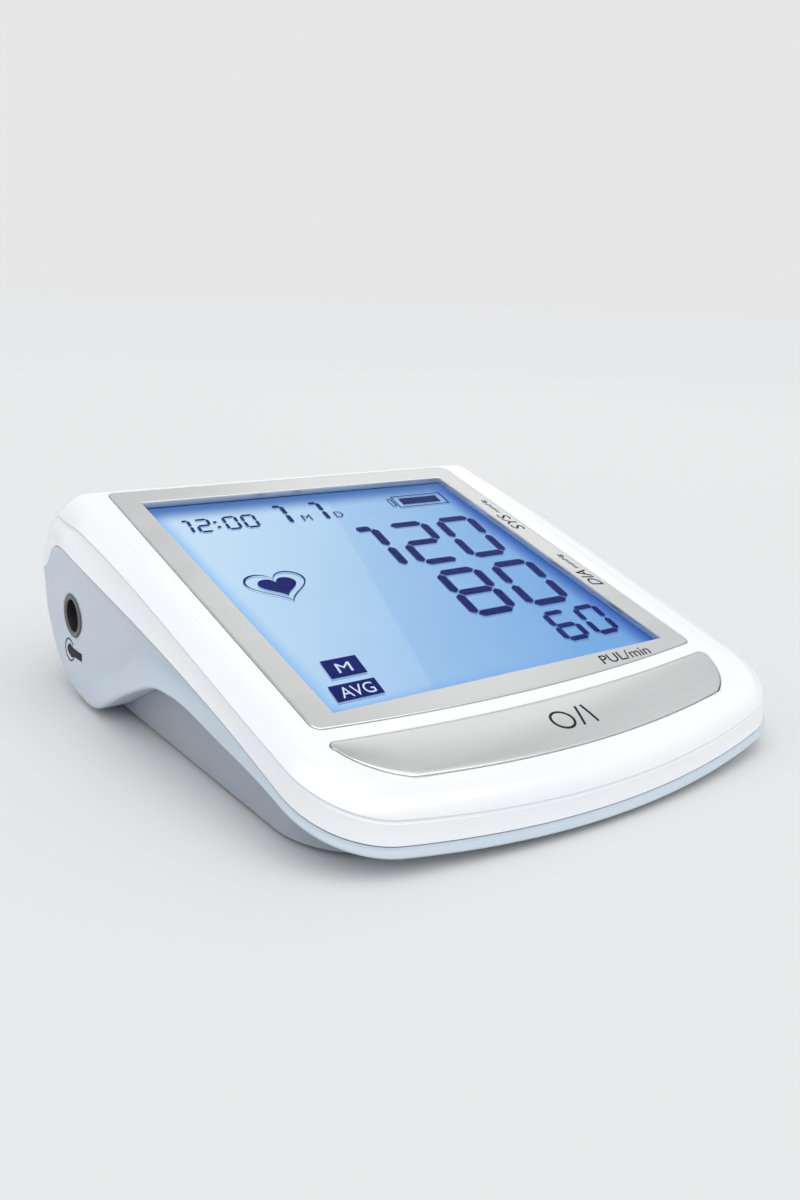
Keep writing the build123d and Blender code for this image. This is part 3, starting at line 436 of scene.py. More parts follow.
def skin_group():
    """Shared effect: slow tone change, patchy gloss and a fine moulded or rolled grain."""
    takes = {
        "Colour": "Color", "Second Colour": "Color", "Stretch": "Vector", "Patch Scale": "Float",
        "Grain Scale": "Float", "Roughness": "Float", "Roughness Swing": "Float",
    }
    gives = {"Colour": "Color", "Roughness": "Float", "Height": "Float"}
    tree, given, result = node_group("moulded_skin", "ShaderNodeTree", takes, gives)
    place = add_node(tree, "ShaderNodeTexCoord")
    pulled = {0: place.outputs["Object"], 1: given.outputs["Stretch"]}
    stretch = add_node(tree, "ShaderNodeVectorMath", pulled, operation="MULTIPLY")
    noises = {}
    for key, detail in (("Patch Scale", 3.0), ("Grain Scale", 2.0)):
        field = {"Detail": detail, "Vector": stretch.outputs[0], "Scale": given.outputs[key]}
        noises[key] = add_node(tree, "ShaderNodeTexNoise", field).outputs["Fac"]
    ends = {"From Min": 0.3, "From Max": 0.7, "Value": noises["Patch Scale"]}
    patch = add_node(tree, "ShaderNodeMapRange", ends).outputs["Result"]
    tones = {"Factor": patch, "A": given.outputs["Colour"], "B": given.outputs["Second Colour"]}
    tone = add_node(tree, "ShaderNodeMix", tones, data_type="RGBA")
    swung = {0: patch, 1: given.outputs["Roughness Swing"], 2: given.outputs["Roughness"]}
    gloss = add_node(tree, "ShaderNodeMath", swung, operation="MULTIPLY_ADD")
    tree.links.new(tone.outputs["Result"], result.inputs["Colour"])
    tree.links.new(gloss.outputs[0], result.inputs["Roughness"])
    tree.links.new(noises["Grain Scale"], result.inputs["Height"])
    return tree


moulded_skin = skin_group()


def skin_finish(name, colour, second, rough, swing=0.05, patch=30.0, grain=1800.0, bump=0.08, depth=0.00004,
                stretch=(1, 1, 1), **constants):
    """A material from the shared skin, with its constants set on the shader itself."""
    finish = bpy.data.materials.new(name)
    finish.use_nodes = True
    tree = finish.node_tree
    shader = tree.nodes["Principled BSDF"]
    look = {
        "Colour": (*colour, 1), "Second Colour": (*second, 1), "Stretch": stretch, "Patch Scale": patch,
        "Grain Scale": grain, "Roughness": rough, "Roughness Swing": swing,
    }
    skin = add_node(tree, "ShaderNodeGroup", look, node_tree=moulded_skin)
    raised = {"Strength": bump, "Distance": depth, "Height": skin.outputs["Height"]}
    relief = add_node(tree, "ShaderNodeBump", raised)
    tree.links.new(skin.outputs["Colour"], shader.inputs["Base Color"])
    tree.links.new(skin.outputs["Roughness"], shader.inputs["Roughness"])
    tree.links.new(relief.outputs["Normal"], shader.inputs["Normal"])
    for socket, value in constants.items():
        shader.inputs[socket.replace("_", " ")].default_value = value
    return finish


def dress(piece, *finishes):
    """Give a piece its finishes, in the order of its faces' material numbers."""
    piece.data.materials.clear()
    for finish in finishes:
        piece.data.materials.append(finish)


GAP, COVER_EDGE, COVER_WALL, SKIRT_WALL = 0.25, 0.3, 1.9, 1.7
cover = Mould()
openings = [lambda grow: frame_outline(grow + GAP), lambda grow: button_outline(grow + GAP)]
cover.fill(plateau, [opening(COVER_EDGE * 1.5) for opening in openings], 0.0)
for opening in openings:
    cover.loft(plain_wall(opening, 0.0, -COVER_WALL, COVER_EDGE))
level = (rim_ring - plateau_ring) - ((rim_ring - plateau_ring) @ FACE_UP)[:, None] * FACE_UP
shoulder = rim_ring + (edge_ring - plateau_ring) * 0.24
rows = bent_rows(plateau_ring, plateau_ring + level * 0.55, rim_ring, 9)
rows += bent_rows(rim_ring, shoulder, edge_ring, 12)
side_out = np.column_stack([outward, np.zeros(STATIONS)])
down = np.array((0.0, 0.0, -1.0))
rows += [edge_ring, edge_ring + down * 0.22 - side_out * 0.05, edge_ring + down * 0.42 - side_out * 0.30]
rows.append(edge_ring + down * 0.70 - side_out * 0.22)
skirt_top = edge_ring + down * 1.0 + side_out * 0.02
straight = (skirt_top + skirt_ring) / 2 - side_out * 0.18
swelled_z = skirt_ring[:, 2] * 0.3 + skirt_top[:, 2] * 0.7
swelled = np.column_stack([skirt_ring[:, :2] + side_out[:, :2] * 0.1, swelled_z])
swell = skirt_swell(outline[:, 1])[:, None]
rows += bent_rows(skirt_top, straight * (1 - swell) + swelled * swell, skirt_ring, 12)
rows += [skirt_ring, skirt_ring + down * 0.10 - side_out * 0.12, skirt_ring + down * 0.12 - side_out * 0.4]
rows += [skirt_ring + down * 0.12 - side_out * SKIRT_WALL, edge_ring + down * 1.3 - side_out * SKIRT_WALL]
rows += [rim_ring - FACE_UP * COVER_WALL, plateau_ring - FACE_UP * COVER_WALL]
cover.loft(rows)
cover.fill(plateau, [opening(0.0) for opening in openings], -COVER_WALL)
top_cover = new_piece("top_cover_white", cover.points, cover.faces, 28.0)
gloss_white = skin_finish(
    "gloss_white", (0.86, 0.875, 0.90), (0.88, 0.89, 0.91), 0.10, 0.05, 18.0, 900.0, 0.02,
    Coat_Weight=0.5, Coat_Roughness=0.06
)
dress(top_cover, gloss_white)
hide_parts("top_cover")
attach(top_cover, "housing")


# Lower shell. Pale blue-grey plastic: two cheeks with a flared lip over the arch, a round back, the back foot
# and a thin rim that runs on under the cover to the front. It is open round the base pan.
PAN_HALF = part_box("base_pan")[1].x / MM
PAN_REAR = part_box("base_pan")[1].y / MM
lip_height = smooth_through(
    [-70.9, -58.0, -44.85, -24.15, -5.35, 1.3, 11.05, 17.65, 26.15,
     33.0, 38.0, 44.0, 53.4, 61.6, 66.5, 69.8, 70.8],
    [1.5, 6.4, 11.1, 15.4, 18.6, 18.3, 14.3, 11.0, 6.3, 2.7, 1.25, 1.2, 3.0, 8.0, 14.4, 22.0, 30.3],
)
crease_height = smooth_through(
    [-40.0, -20.0, -13.6, -2.3, 5.7, 14.5, 19.9, 25.2, 29.5, 35.7, 40.0],
    [14.5, 21.0, 22.0, 23.5, 23.2, 21.1, 18.0, 13.7, 9.6, 2.9, 1.6],
)
edge_radius = smooth_through([-70.9, 20.0, 34.0, 44.0, 56.0, 66.0, 70.9], [0.7, 0.8, 1.2, 2.4, 3.8, 5.2, 5.9])
lip_flare = smooth_through(
    [-70.9, -60.0, -20.0, -6.0, 7.0, 18.0, 34.0, 42.0], [0.65, 0.55, 0.6, 1.1, 1.8, 1.5, 0.3, 0.0]
)
cheek_sink = smooth_through([-40.0, -26.0, -12.0, 8.0, 30.0, 40.0, 52.0], [0.0, 0.0, 0.7, 1.9, 1.6, 0.5, 0.0])
COLUMN_STEPS, ROUND_STEPS = 34, 6
SHELL_WALL, PARTING_GAP, TONGUE = 1.4, 0.12, 1.6


def shell_stations():
    """Places round the shell's lower edge and their outward directions, from back left to back right."""
    side = outline[: SIDE_STEPS + FRONT_CORNER_STEPS // 2]
    turn = outward[: len(side)]
    back_y = np.array([REAR - 0.05, 70.6, 70.3, 69.9, 69.3, 68.5, 67.5, 66.3])
    fine_y = np.concatenate([back_y, np.linspace(65.0, 30.0, 48), np.linspace(29.0, -30.0, 84)])
    fine_x = -np.interp(fine_y, side[::-1, 1], -side[::-1, 0], right=HALF_WIDTH)
    lean = np.interp(fine_y, side[::-1, 1], turn[::-1, 1], right=0.0)
    fine = np.column_stack([fine_x, fine_y])
    fine_turn = np.column_stack([-np.sqrt(1 - lean**2), lean])
    count = 2 * (SIDE_STEPS + FRONT_CORNER_STEPS) + FRONT_STEPS
    front = np.array([i for i in range(count) if outline[i, 1] < -30.5])
    places = np.concatenate([fine, outline[front], fine[::-1] * (-1, 1)])
    turns = np.concatenate([fine_turn, outward[front], fine_turn[::-1] * (-1, 1)])
    return places, turns


def lip_direction(y):
    """Down and out across the lower edge in side view, at a distance along the shell."""
    near, far = np.minimum(y - 0.15, 70.55), np.minimum(y + 0.15, 70.8)
    slope = (lip_height(far) - lip_height(near)) / (far - near)
    size = np.hypot(slope, 1.0)
    return slope / size, -1.0 / size


def shell_rows(places, turns):
    """Rows of the shell's outside from the parting line down the cheek, round the lower edge and inwards."""
    y = places[:, 1]
    across_y, across_z = lip_direction(y)
    along = np.abs(turns[:, 0])
    radius = edge_radius(y)
    base_y = y - across_y * radius * along
    top = parting_height(base_y) - PARTING_GAP
    low = np.minimum(lip_height(y) - across_z * radius, top - 0.02)
    crease = np.clip(crease_height(base_y), low + 0.25 * (top - low), top)
    sink = cheek_sink(base_y)
    rows = []
    for step in range(COLUMN_STEPS + 1):
        height = top + (low - top) * step / COLUMN_STEPS
        below = np.clip((crease - height) / np.maximum(crease - low, 0.1), 0, 1)
        above = np.clip((height - crease) / 5.0, 0, 1)
        reach = -sink * (1 - 0.25 * above**2) + (sink + lip_flare(y)) * below * (0.8 + 0.2 * below)
        fade = np.clip((top - height) / 1.2, 0, 1)
        reach = reach * fade * fade * (3 - 2 * fade)
        spot = places - turns * (skirt_inset(y) - reach)[:, None]
        spot[:, 0] = np.clip(spot[:, 0], 0.05 - HALF_WIDTH, HALF_WIDTH - 0.05)
        shift = (base_y - y) * along
        rows.append(np.column_stack([spot[:, 0], spot[:, 1] + shift, height]))
    lower = rows[-1]
    rows = [rows[0] - np.column_stack([turns, np.zeros(len(y))]) * TONGUE] + rows
    for step in range(1, ROUND_STEPS + 1):
        turn = step / ROUND_STEPS * math.pi / 2
        spot = lower[:, :2] - turns * (radius * (1 - math.cos(turn)))[:, None]
        drop = radius * math.sin(turn)
        spot[:, 1] += across_y * drop * along
        rows.append(np.column_stack([spot, lower[:, 2] + across_z * drop]))
    return rows


shell = Mould()
places, turns = shell_stations()
rows = shell_rows(places, turns)
last = rows[-1].copy()
reach_x = PAN_HALF - 0.05
reach_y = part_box("base_pan")[0].y / MM + 2.0
PAN_CORNER = 20.0
goal = np.column_stack([np.clip(last[:, 0], -reach_x, reach_x), np.maximum(last[:, 1], reach_y)])
corner_x = np.sign(goal[:, 0]) * (reach_x - PAN_CORNER)
middle = np.column_stack([corner_x, np.full(len(goal), reach_y + PAN_CORNER)])
past = goal - middle
at_corner = (past[:, 0] * np.sign(goal[:, 0]) > 0) & (past[:, 1] < 0)
pull = np.where(at_corner, np.minimum(PAN_CORNER / np.hypot(past[:, 0], past[:, 1]), 1.0), 1.0)
goal = middle + past * pull[:, None]
for step in range(1, 5):
    share = step / 4
    row = last.copy()
    row[:, :2] += (goal - last[:, :2]) * share
    row[:, 2] = np.where(last[:, 1] > PAN_REAR, last[:, 2], lip_height(row[:, 1]))
    rows.append(row)
shell.loft(rows, closed=False)
foot = [i for i in range(len(last) // 2) if last[i, 1] > PAN_REAR]
cross = []
for share in np.linspace(0, 1, 33):
    row = rows[-1][foot]
    row[:, 0] *= 1 - 2 * share
    cross.append(row)
shell.loft(cross, closed=False)
lower_shell = new_piece("lower_shell_pale", shell.points, shell.faces, 48.0)
walls = lower_shell.modifiers.new("wall", "SOLIDIFY")
walls.thickness = SHELL_WALL * MM
walls.offset = -1.0
socket_low, socket_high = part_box("air_socket")
SOCKET_Y = (socket_low.y + socket_high.y) / 2 / MM
SOCKET_Z = (socket_low.z + socket_high.z) / 2 / MM
SOCKET_RING = 5.35


def round_bar(name, radius, ends, steps=64):
    """A round bar along X at the air socket, for cutting its hole."""
    turn = np.linspace(0, 2 * math.pi, steps, endpoint=False)
    loop = np.stack([SOCKET_Y + radius * np.cos(turn), SOCKET_Z + radius * np.sin(turn)], 1)
    rows = [np.column_stack([np.full(steps, x), loop]) for x in ends]
    points = np.concatenate(rows)
    caps = [tuple(range(steps))[::-1], tuple(range(steps, 2 * steps))]
    return new_piece(name, points, loop_faces(0, steps, steps) + caps)


def settle(piece):
    """Turn a piece's live modifiers into its mesh."""
    seen = piece.evaluated_get(bpy.context.evaluated_depsgraph_get())
    mesh = bpy.data.meshes.new_from_object(seen)
    piece.modifiers.clear()
    piece.data = mesh


settle(lower_shell)
cutter = round_bar("socket_cutter", SOCKET_RING + 0.12, (-75.0, -60.0))
hole = lower_shell.modifiers.new("socket_hole", "BOOLEAN")
hole.object = cutter
hole.solver = "EXACT"
settle(lower_shell)
bpy.data.objects.remove(cutter)
satin_pale = skin_finish(
    "satin_pale", (0.56, 0.645, 0.735), (0.59, 0.675, 0.755), 0.30, 0.08, 24.0, 2200.0, 0.10
)
dress(lower_shell, satin_pale)
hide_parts("lower_shell")
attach(lower_shell, "housing")


# Base pan. Grey plastic with a fine spark-eroded grain, moulded with the battery bay and fixed under the
# lower shell by four screws. Its gloss changes a little from patch to patch, as on a used mould.
def dress_nodes(finish, *names):
    """Give CAD nodes a finish in their own material slots."""
    for name in names:
        for slot in frame["nodes"][name].material_slots:
            slot.material = finish


eroded_grey = skin_finish(
    "eroded_grey", (0.37, 0.41, 0.47), (0.41, 0.45, 0.51), 0.52, 0.1, 60.0, 1700.0, 0.45, 0.00012
)
dress_nodes(eroded_grey, "base_pan")


# Feet. Four discs of soft black rubber, glued into shallow pockets under the base. Each has a round edge and
# a slight dish, so that it holds the table by its rim.
def turned(profile, steps=48, centre=(0, 0, 0), axis="Z"):
    """Points and faces of a solid turned round a line along Z or X, from (along, radius) pairs."""
    turn = np.linspace(0, 2 * math.pi, steps, endpoint=False)
    rows = []
    for along, radius in profile:
        columns = [radius * np.cos(turn), radius * np.sin(turn)]
        columns.insert(2 if axis == "Z" else 0, np.full(steps, along))
        rows.append(np.column_stack(columns) + np.array(centre))
    faces = []
    for start in range(0, (len(rows) - 1) * steps, steps):
        faces += loop_faces(start, start + steps, steps)
    return np.concatenate(rows), faces


def round_edge(along, radius, edge, along_sign, steps=5):
    """(along, radius) pairs over a small round edge, from the flat side out to the wall."""
    turns = [i / steps * math.pi / 2 for i in range(steps + 1)]
    return [
        (along + along_sign * edge * (1 - math.cos(a)), radius - edge * (1 - math.sin(a))) for a in turns
    ]


def clusters(node):
    """Centre and box of each quarter's solid in a CAD node that holds one solid in each."""
    points = np.array([v.co for v in frame["nodes"][node].data.vertices]) / MM
    found = []
    for side in (-1, 1):
        for end in (-1, 1):
            middle = (points[:, 1].min() + points[:, 1].max()) / 2
            part = points[(points[:, 0] * side > 0) & ((points[:, 1] - middle) * end > 0)]
            if len(part):
                found.append((part.min(0), part.max(0)))
    return found


def painted(tree, geometry, finish, result):
    """End a layout: give the geometry its finish and hand it on."""
    paint = add_node(tree, "GeometryNodeSetMaterial", {"Geometry": geometry, "Material": finish})
    tree.links.new(paint.outputs[0], result.inputs[0])


def laid_out(piece, tree, values, finish):
    """Run a layout on a piece with its values, turn it into plain mesh and give it its finish."""
    sockets = {s.name: s.identifier for s in tree.interface.items_tree if s.in_out == "INPUT"}
    layout = piece.modifiers.new("layout", "NODES")
    layout.node_group = tree
    for socket, value in values.items():
        layout[sockets[socket]] = value
    settle(piece)
    dress(piece, finish)


def scattered(name, unit, places, finish):
    """One solid repeated at given places with Geometry Nodes, as a plain mesh."""
    takes = {"Places": "Geometry", "Solid": "Object"}
    tree, given, result = node_group(name + "_layout", "GeometryNodeTree", takes, {"Result": "Geometry"})
    solid = add_node(tree, "GeometryNodeObjectInfo", {"Object": given.outputs["Solid"]})
    laid = {"Points": given.outputs["Places"], "Instance": solid.outputs["Geometry"]}
    repeat = add_node(tree, "GeometryNodeInstanceOnPoints", laid)
    real = add_node(tree, "GeometryNodeRealizeInstances", {0: repeat.outputs[0]})
    painted(tree, real.outputs[0], finish, result)
    piece = new_piece(name, places, [])
    laid_out(piece, tree, {"Solid": unit}, finish)
    bpy.data.objects.remove(unit)
    return piece


foot_boxes = clusters("rubber_feet")
FOOT_RADIUS = (foot_boxes[0][1][0] - foot_boxes[0][0][0]) / 2
foot_top = foot_boxes[0][1][2]
foot_profile = [(0.35, 0.0), (0.32, FOOT_RADIUS * 0.5), (0.15, FOOT_RADIUS * 0.78)]
foot_profile += round_edge(0.0, FOOT_RADIUS, 0.5, 1)
foot_profile += round_edge(foot_top, FOOT_RADIUS, 0.15, -1)[::-1] + [(foot_top, 0.0)]
foot_unit = new_piece("foot_unit", *turned(foot_profile), 40.0)
foot_places = [((low + high) / 2) * (1, 1, 0) for low, high in foot_boxes]
soft_rubber = skin_finish(
    "soft_rubber", (0.035, 0.035, 0.038), (0.05, 0.05, 0.052), 0.62, 0.12, 90.0, 2500.0, 0.3
)
feet = scattered("table_feet", foot_unit, foot_places, soft_rubber)
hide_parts("rubber_feet")
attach(feet, "housing")


# Housing screws. Four zinc-plated pan-head screws with a cross recess, driven up through the base and the
# lower shell into the cover's posts.
def screw_solid(head_radius, head_height, shank_radius, length):
    """A pan-head screw, head down, with its cross recess pressed into the head."""
    profile = [(0.0, head_radius * k / 9) for k in range(10)]
    profile = [(0.42 * (k / 9) ** 4 * head_height, radius) for k, (_, radius) in enumerate(profile)]
    profile += [(head_height * 0.6, head_radius), (head_height, head_radius), (head_height, shank_radius)]
    for k in range(1, 17):
        along = head_height + length * k / 17
        profile.append((along, shank_radius * (1.0 if k % 2 else 0.82)))
    profile += [(head_height + length, shank_radius * 0.4), (head_height + length, 0.0)]
    points, faces = turned(profile, 64)
    arm, half = 1.5, 0.34
    across, along = np.abs(points[:, 0]), np.abs(points[:, 1])
    in_cross = (np.minimum(across, along) < half) & (np.maximum(across, along) < arm)
    pressed = in_cross & (points[:, 2] < 0.45 * head_height)
    points[pressed, 2] += 0.85
    return points, faces


screw_boxes = clusters("housing_screws")
screw_length = screw_boxes[0][1][2] - screw_boxes[0][0][2]
HEAD_RADIUS, HEAD_HEIGHT, SHANK_RADIUS = 2.6, 1.9, 1.25
screw = screw_solid(HEAD_RADIUS, HEAD_HEIGHT, SHANK_RADIUS, screw_length - HEAD_HEIGHT)
screw_unit = new_piece("screw_unit", *screw, 30.0)
screw_places = [np.array((*((low + high) / 2)[:2], low[2])) for low, high in screw_boxes]
zinc = skin_finish(
    "zinc_plate", (0.55, 0.56, 0.58), (0.62, 0.63, 0.64), 0.28, 0.12, 400.0, 3000.0, 0.1, Metallic=1.0
)
screws = scattered("case_screws", screw_unit, screw_places, zinc)
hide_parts("housing_screws")
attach(screws, "housing")


# Battery door. Grey plastic plate on a barrel hinge, with a row of grip ribs beside the finger notch,
# moulded in one piece with it.
door_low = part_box("battery_door")[0]
dress_nodes(eroded_grey, "battery_door")
rib_bar, rib_rise, rib_half = 0.45, 0.4, 9.0
RIB_COUNT, RIB_START, RIB_PITCH = 6, 3.4, 1.7
rib_profile = [(rib_bar * math.cos(a), -rib_rise * math.sin(a)) for a in np.linspace(0, math.pi, 9)]
rib_rows = []
for end in np.linspace(-1, 1, 13):
    narrow = math.sqrt(max(1 - abs(end) ** 6, 0.0)) + 0.02
    rib_rows.append(np.array([(end * rib_half, y * narrow, z * narrow) for y, z in rib_profile]))
rib = Mould()
rib.loft(rib_rows)
rib.faces += [tuple(range(9))[::-1], tuple(range(12 * 9, 13 * 9))]
rib_unit = new_piece("rib_unit", rib.points, rib.faces, 50.0)
plate_low = door_low.z / MM + 0.03
rib_places = [(0.0, door_low.y / MM + RIB_START + RIB_PITCH * k, plate_low) for k in range(RIB_COUNT)]
door_grip = scattered("door_grip", rib_unit, rib_places, eroded_grey)
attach(door_grip, "door")


# Screen frame. A satin silver frame pressed into the cover round the window, with small polished bevels and a
# lip that runs down to the window.
WINDOW_HALF, WINDOW_BACK, WINDOW_FRONT, WINDOW_DEPTH = 48.4, 46.2, -49.1, 1.8
FRAME_BEVEL, WINDOW_BEVEL = 0.30, 0.35


def window_outline(grow=0.0, radius=0.35, steps=4):
    """Outline of the window on the face, a rectangle with barely round corners."""
    points = []
    radius = radius + max(grow, 0.0)
    corners = [(1, WINDOW_FRONT, -1), (1, WINDOW_BACK, 1), (-1, WINDOW_BACK, 1), (-1, WINDOW_FRONT, -1)]
    for number, (side, edge, end) in enumerate(corners):
        centre = np.array((side * (WINDOW_HALF + grow - radius), edge + end * (grow - radius)))
        turn = -math.pi / 2 + number * math.pi / 2 + np.linspace(0, math.pi / 2, steps)
        points.append(centre + radius * np.stack([np.cos(turn), np.sin(turn)], 1))
    return np.concatenate(points)


def face_rows(outline_of, steps):
    """Rings on the face from pairs of growth and height."""
    return [on_face(*outline_of(grow).T, n) for grow, n in steps]


def bevel_steps(size, top=0.0, sign=-1, count=4):
    """Growth and height over a round bevel, from the top face out to the wall."""
    turns = [k / count * math.pi / 2 for k in range(count + 1)]
    return [(sign * size * (1 - math.sin(a)), top - size * (1 - math.cos(a))) for a in turns]


bezel = Mould()
FLAT_MARGIN = 0.12
bezel.fill(frame_outline(-FRAME_BEVEL - FLAT_MARGIN), [window_outline(WINDOW_BEVEL + FLAT_MARGIN)], 0.0)
outer_steps = [(-FRAME_BEVEL - FLAT_MARGIN, 0.0)] + bevel_steps(FRAME_BEVEL) + [(0.0, -FRAME_THICK)]
bezel.loft(face_rows(frame_outline, outer_steps))
lip_steps = [(WINDOW_BEVEL + FLAT_MARGIN, 0.0)] + bevel_steps(WINDOW_BEVEL, 0.0, 1)
lip_steps += [(0.0, -WINDOW_DEPTH + 0.01), (1.2, -WINDOW_DEPTH + 0.01)]
bezel.loft(face_rows(window_outline, lip_steps + [(1.2, -FRAME_THICK)]))
bezel.fill(frame_outline(), [window_outline(1.2)], -FRAME_THICK)
screen_frame = new_piece("screen_frame", bezel.points, bezel.faces, 24.0)
satin_silver = skin_finish(
    "satin_silver", (0.72, 0.72, 0.715), (0.77, 0.77, 0.765), 0.24, 0.06, 14.0, 260.0, 0.05, 0.00003,
    (1.0, 9.0, 9.0), Metallic=0.92
)
dress(screen_frame, satin_silver)
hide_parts("bezel_frame")
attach(screen_frame, "housing")


# Power button. A crescent cap in the same satin silver, slightly crowned, with a skirt and a flange that keep
# it in the cover and a rib that presses the switch.
BUTTON_CROWN, BUTTON_EDGE, BUTTON_LOW, FLANGE_TOP = 0.45, 0.32, -4.4, -3.45
rim = button_outline()
left_tip, right_tip = int(np.argmin(rim[:, 0])), int(np.argmax(rim[:, 0]))
low_chain = np.roll(rim, -left_tip, 0)[: (right_tip - left_tip) % len(rim) + 1]
high_chain = np.roll(rim, -right_tip, 0)[: (left_tip - right_tip) % len(rim) + 1][::-1]
button_x = rim[right_tip, 0] * np.sin(np.linspace(-math.pi / 2, math.pi / 2, 121))
button_low = np.interp(button_x, low_chain[:, 0], low_chain[:, 1])
button_high = np.interp(button_x, high_chain[:, 0], high_chain[:, 1])
button_high[[0, -1]] = button_low[[0, -1]]
DEEPEST = float((button_high - button_low).max())


def button_height(x, v):
    """Height of the crowned cap above the face."""
    low = np.interp(x, button_x, button_low)
    high = np.interp(x, button_x, button_high)
    crown = BUTTON_CROWN * 4 * np.clip((v - low) * (high - v), 0, None) / DEEPEST**2
    inside = np.clip(np.minimum(v - low, high - v) / BUTTON_EDGE, 0, 1)
    return crown - BUTTON_EDGE * (1 - np.sqrt(1 - (1 - inside) ** 2))


def button_rim(grow):
    """The cap's outline in step with its stations, grown outwards."""
    loop = np.concatenate([
        np.stack([button_x, button_low], 1), np.stack([button_x[1:-1], button_high[1:-1]], 1)[::-1]
    ])
    step = np.roll(loop, -2, 0) - np.roll(loop, 2, 0)
    step /= np.linalg.norm(step, axis=1)[:, None]
    return loop + grow * np.stack([step[:, 1], -step[:, 0]], 1)


EDGE_ROWS = [0.0, 0.03, 0.09, 0.18, 0.32]
cap = Mould()
cap_rows = []
half_depth = (button_high - button_low) / 2
near_edge = [np.minimum(d, half_depth * (k + 1e-3) / 6) for k, d in enumerate(EDGE_ROWS)]
inner = near_edge[-1]
middle_rows = [inner + (2 * half_depth - 2 * inner) * k / 12 for k in range(1, 12)]
depths = near_edge + middle_rows + [2 * half_depth - d for d in near_edge[::-1]]
for depth in depths:
    row_v = button_low + depth
    cap_rows.append(on_face(button_x, row_v, button_height(button_x, row_v)))
cap.loft(cap_rows, closed=False)
skirt = [(0.0, -BUTTON_EDGE), (0.0, FLANGE_TOP), (0.9, FLANGE_TOP)]
skirt += [(0.9, BUTTON_LOW), (-0.9, BUTTON_LOW), (-0.9, -1.8)]
cap.loft(face_rows(button_rim, skirt))
cap.fill(button_rim(-0.9), [], -1.8)
pressing_rib = [(x, -67.0 + v) for x, v in ((-3, -3), (3, -3), (3, 3), (-3, 3))]
rib_start = cap.add(on_face(*np.array(pressing_rib).T, -1.7))
cap.add(on_face(*np.array(pressing_rib).T, -4.6))
cap.faces += loop_faces(rib_start, rib_start + 4, 4)
cap.faces += [tuple(rib_start + i for i in range(4))[::-1], tuple(rib_start + 4 + i for i in range(4))]
button_cap = new_piece("button_cap", cap.points, cap.faces, 24.0)
dress(button_cap, satin_silver)
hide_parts("power_button")
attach(button_cap, "button")


# Printing. Thin dark ink, pad-printed after moulding: the names and units of the readings on the frame beside
# the window, and a sign on the button. It stands a hair above the silver.
INK = 0.04
black_ink = skin_finish(
    "black_ink", (0.012, 0.012, 0.014), (0.02, 0.02, 0.022), 0.45, 0.1, 200.0, 2600.0, 0.05,
    Specular_IOR_Level=0.15
)


class Print:
    """Collects flat shapes and turns them into thin closed plates of ink on a surface."""

    def __init__(self):
        self.points, self.faces = [], []

    def plate(self, flat, faces, low, high, place):
        """Top, underside and rim of a flat mesh between two heights on a surface."""
        start = len(self.points)
        self.points.extend(place(flat[:, 0], flat[:, 1], low))
        self.points.extend(place(flat[:, 0], flat[:, 1], high))
        count = len(flat)
        used = {}
        for face in faces:
            self.faces.append(tuple(start + i for i in face[::-1]))
            self.faces.append(tuple(start + count + i for i in face))
            for a, b in zip(face, face[1:] + face[:1]):
                used[(a, b)] = used.get((a, b), 0) + 1
        for a, b in used:
            if (b, a) not in used:
                self.faces.append((start + a, start + b, start + count + b, start + count + a))

    def shape(self, outer, holes, low, high, place):
        flat, faces = filled(outer, holes)
        self.plate(flat, upward(flat, faces), low, high, place)


def upward(flat, faces):
    """The same faces, all wound anticlockwise."""
    turned_faces = []
    for face in faces:
        p = flat[list(face)]
        area = sum(p[i, 0] * p[(i + 1) % len(p), 1] - p[(i + 1) % len(p), 0] * p[i, 1] for i in range(len(p)))
        turned_faces.append(tuple(face) if area > 0 else tuple(face)[::-1])
    return turned_faces


def letters(text, width, height, lean=0.0):
    """Flat points and faces of a line of letters that fills a width and a height, from the origin."""
    curve = bpy.data.curves.new("letters", "FONT")
    curve.body = text
    curve.shear = lean
    curve.resolution_u = 4
    holder = bpy.data.objects.new("letters", curve)
    bpy.context.scene.collection.objects.link(holder)
    seen_text = holder.evaluated_get(bpy.context.evaluated_depsgraph_get())
    mesh = bpy.data.meshes.new_from_object(seen_text)
    bm = bmesh.new()
    bm.from_mesh(mesh)
    bmesh.ops.remove_doubles(bm, verts=bm.verts, dist=1e-5)
    bm.verts.index_update()
    flat = np.array([v.co[:2] for v in bm.verts])
    faces = [tuple(v.index for v in f.verts) for f in bm.faces]
    bm.free()
    bpy.data.objects.remove(holder)
    low, high = flat.min(0), flat.max(0)
    return (flat - low) / (high - low) * (width, height), upward((flat - low), faces)


def ring_shape(radius_x, radius_v, line, steps=56):
    """Outer and inner outlines of an elliptical ring round the origin."""
    turn = np.linspace(0, 2 * math.pi, steps, endpoint=False)
    way = np.stack([np.cos(turn), np.sin(turn)], 1)
    return way * (radius_x, radius_v), way * (radius_x - line, radius_v - line)


frame_print = Print()
for text, small, low_v, big_long, small_long in (
    ("SYS", "mmHg", 9.9, 9.6, 8.6), ("DIA", "mmHg", -23.1, 8.2, 8.2)
):
    for word, start_v, long, tall, thick_at in (
        (text, low_v, big_long, 3.7, 0.0), (small, low_v + big_long + 1.2, small_long, 1.9, 0.3)
    ):
        flat, faces = letters(word, long, tall, 0.25)
        stood = np.stack([53.6 - thick_at - flat[:, 1], start_v + flat[:, 0]], 1)
        frame_print.plate(stood, faces, 0.0, INK, on_face)
flat, faces = letters("PUL/min", 16.5, 3.3, 0.2)
frame_print.plate(flat + (23.7, -53.9), faces, 0.0, INK, on_face)
frame_words = new_piece("frame_words", frame_print.points, frame_print.faces, 40.0)
dress(frame_words, black_ink)
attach(frame_words, "housing")


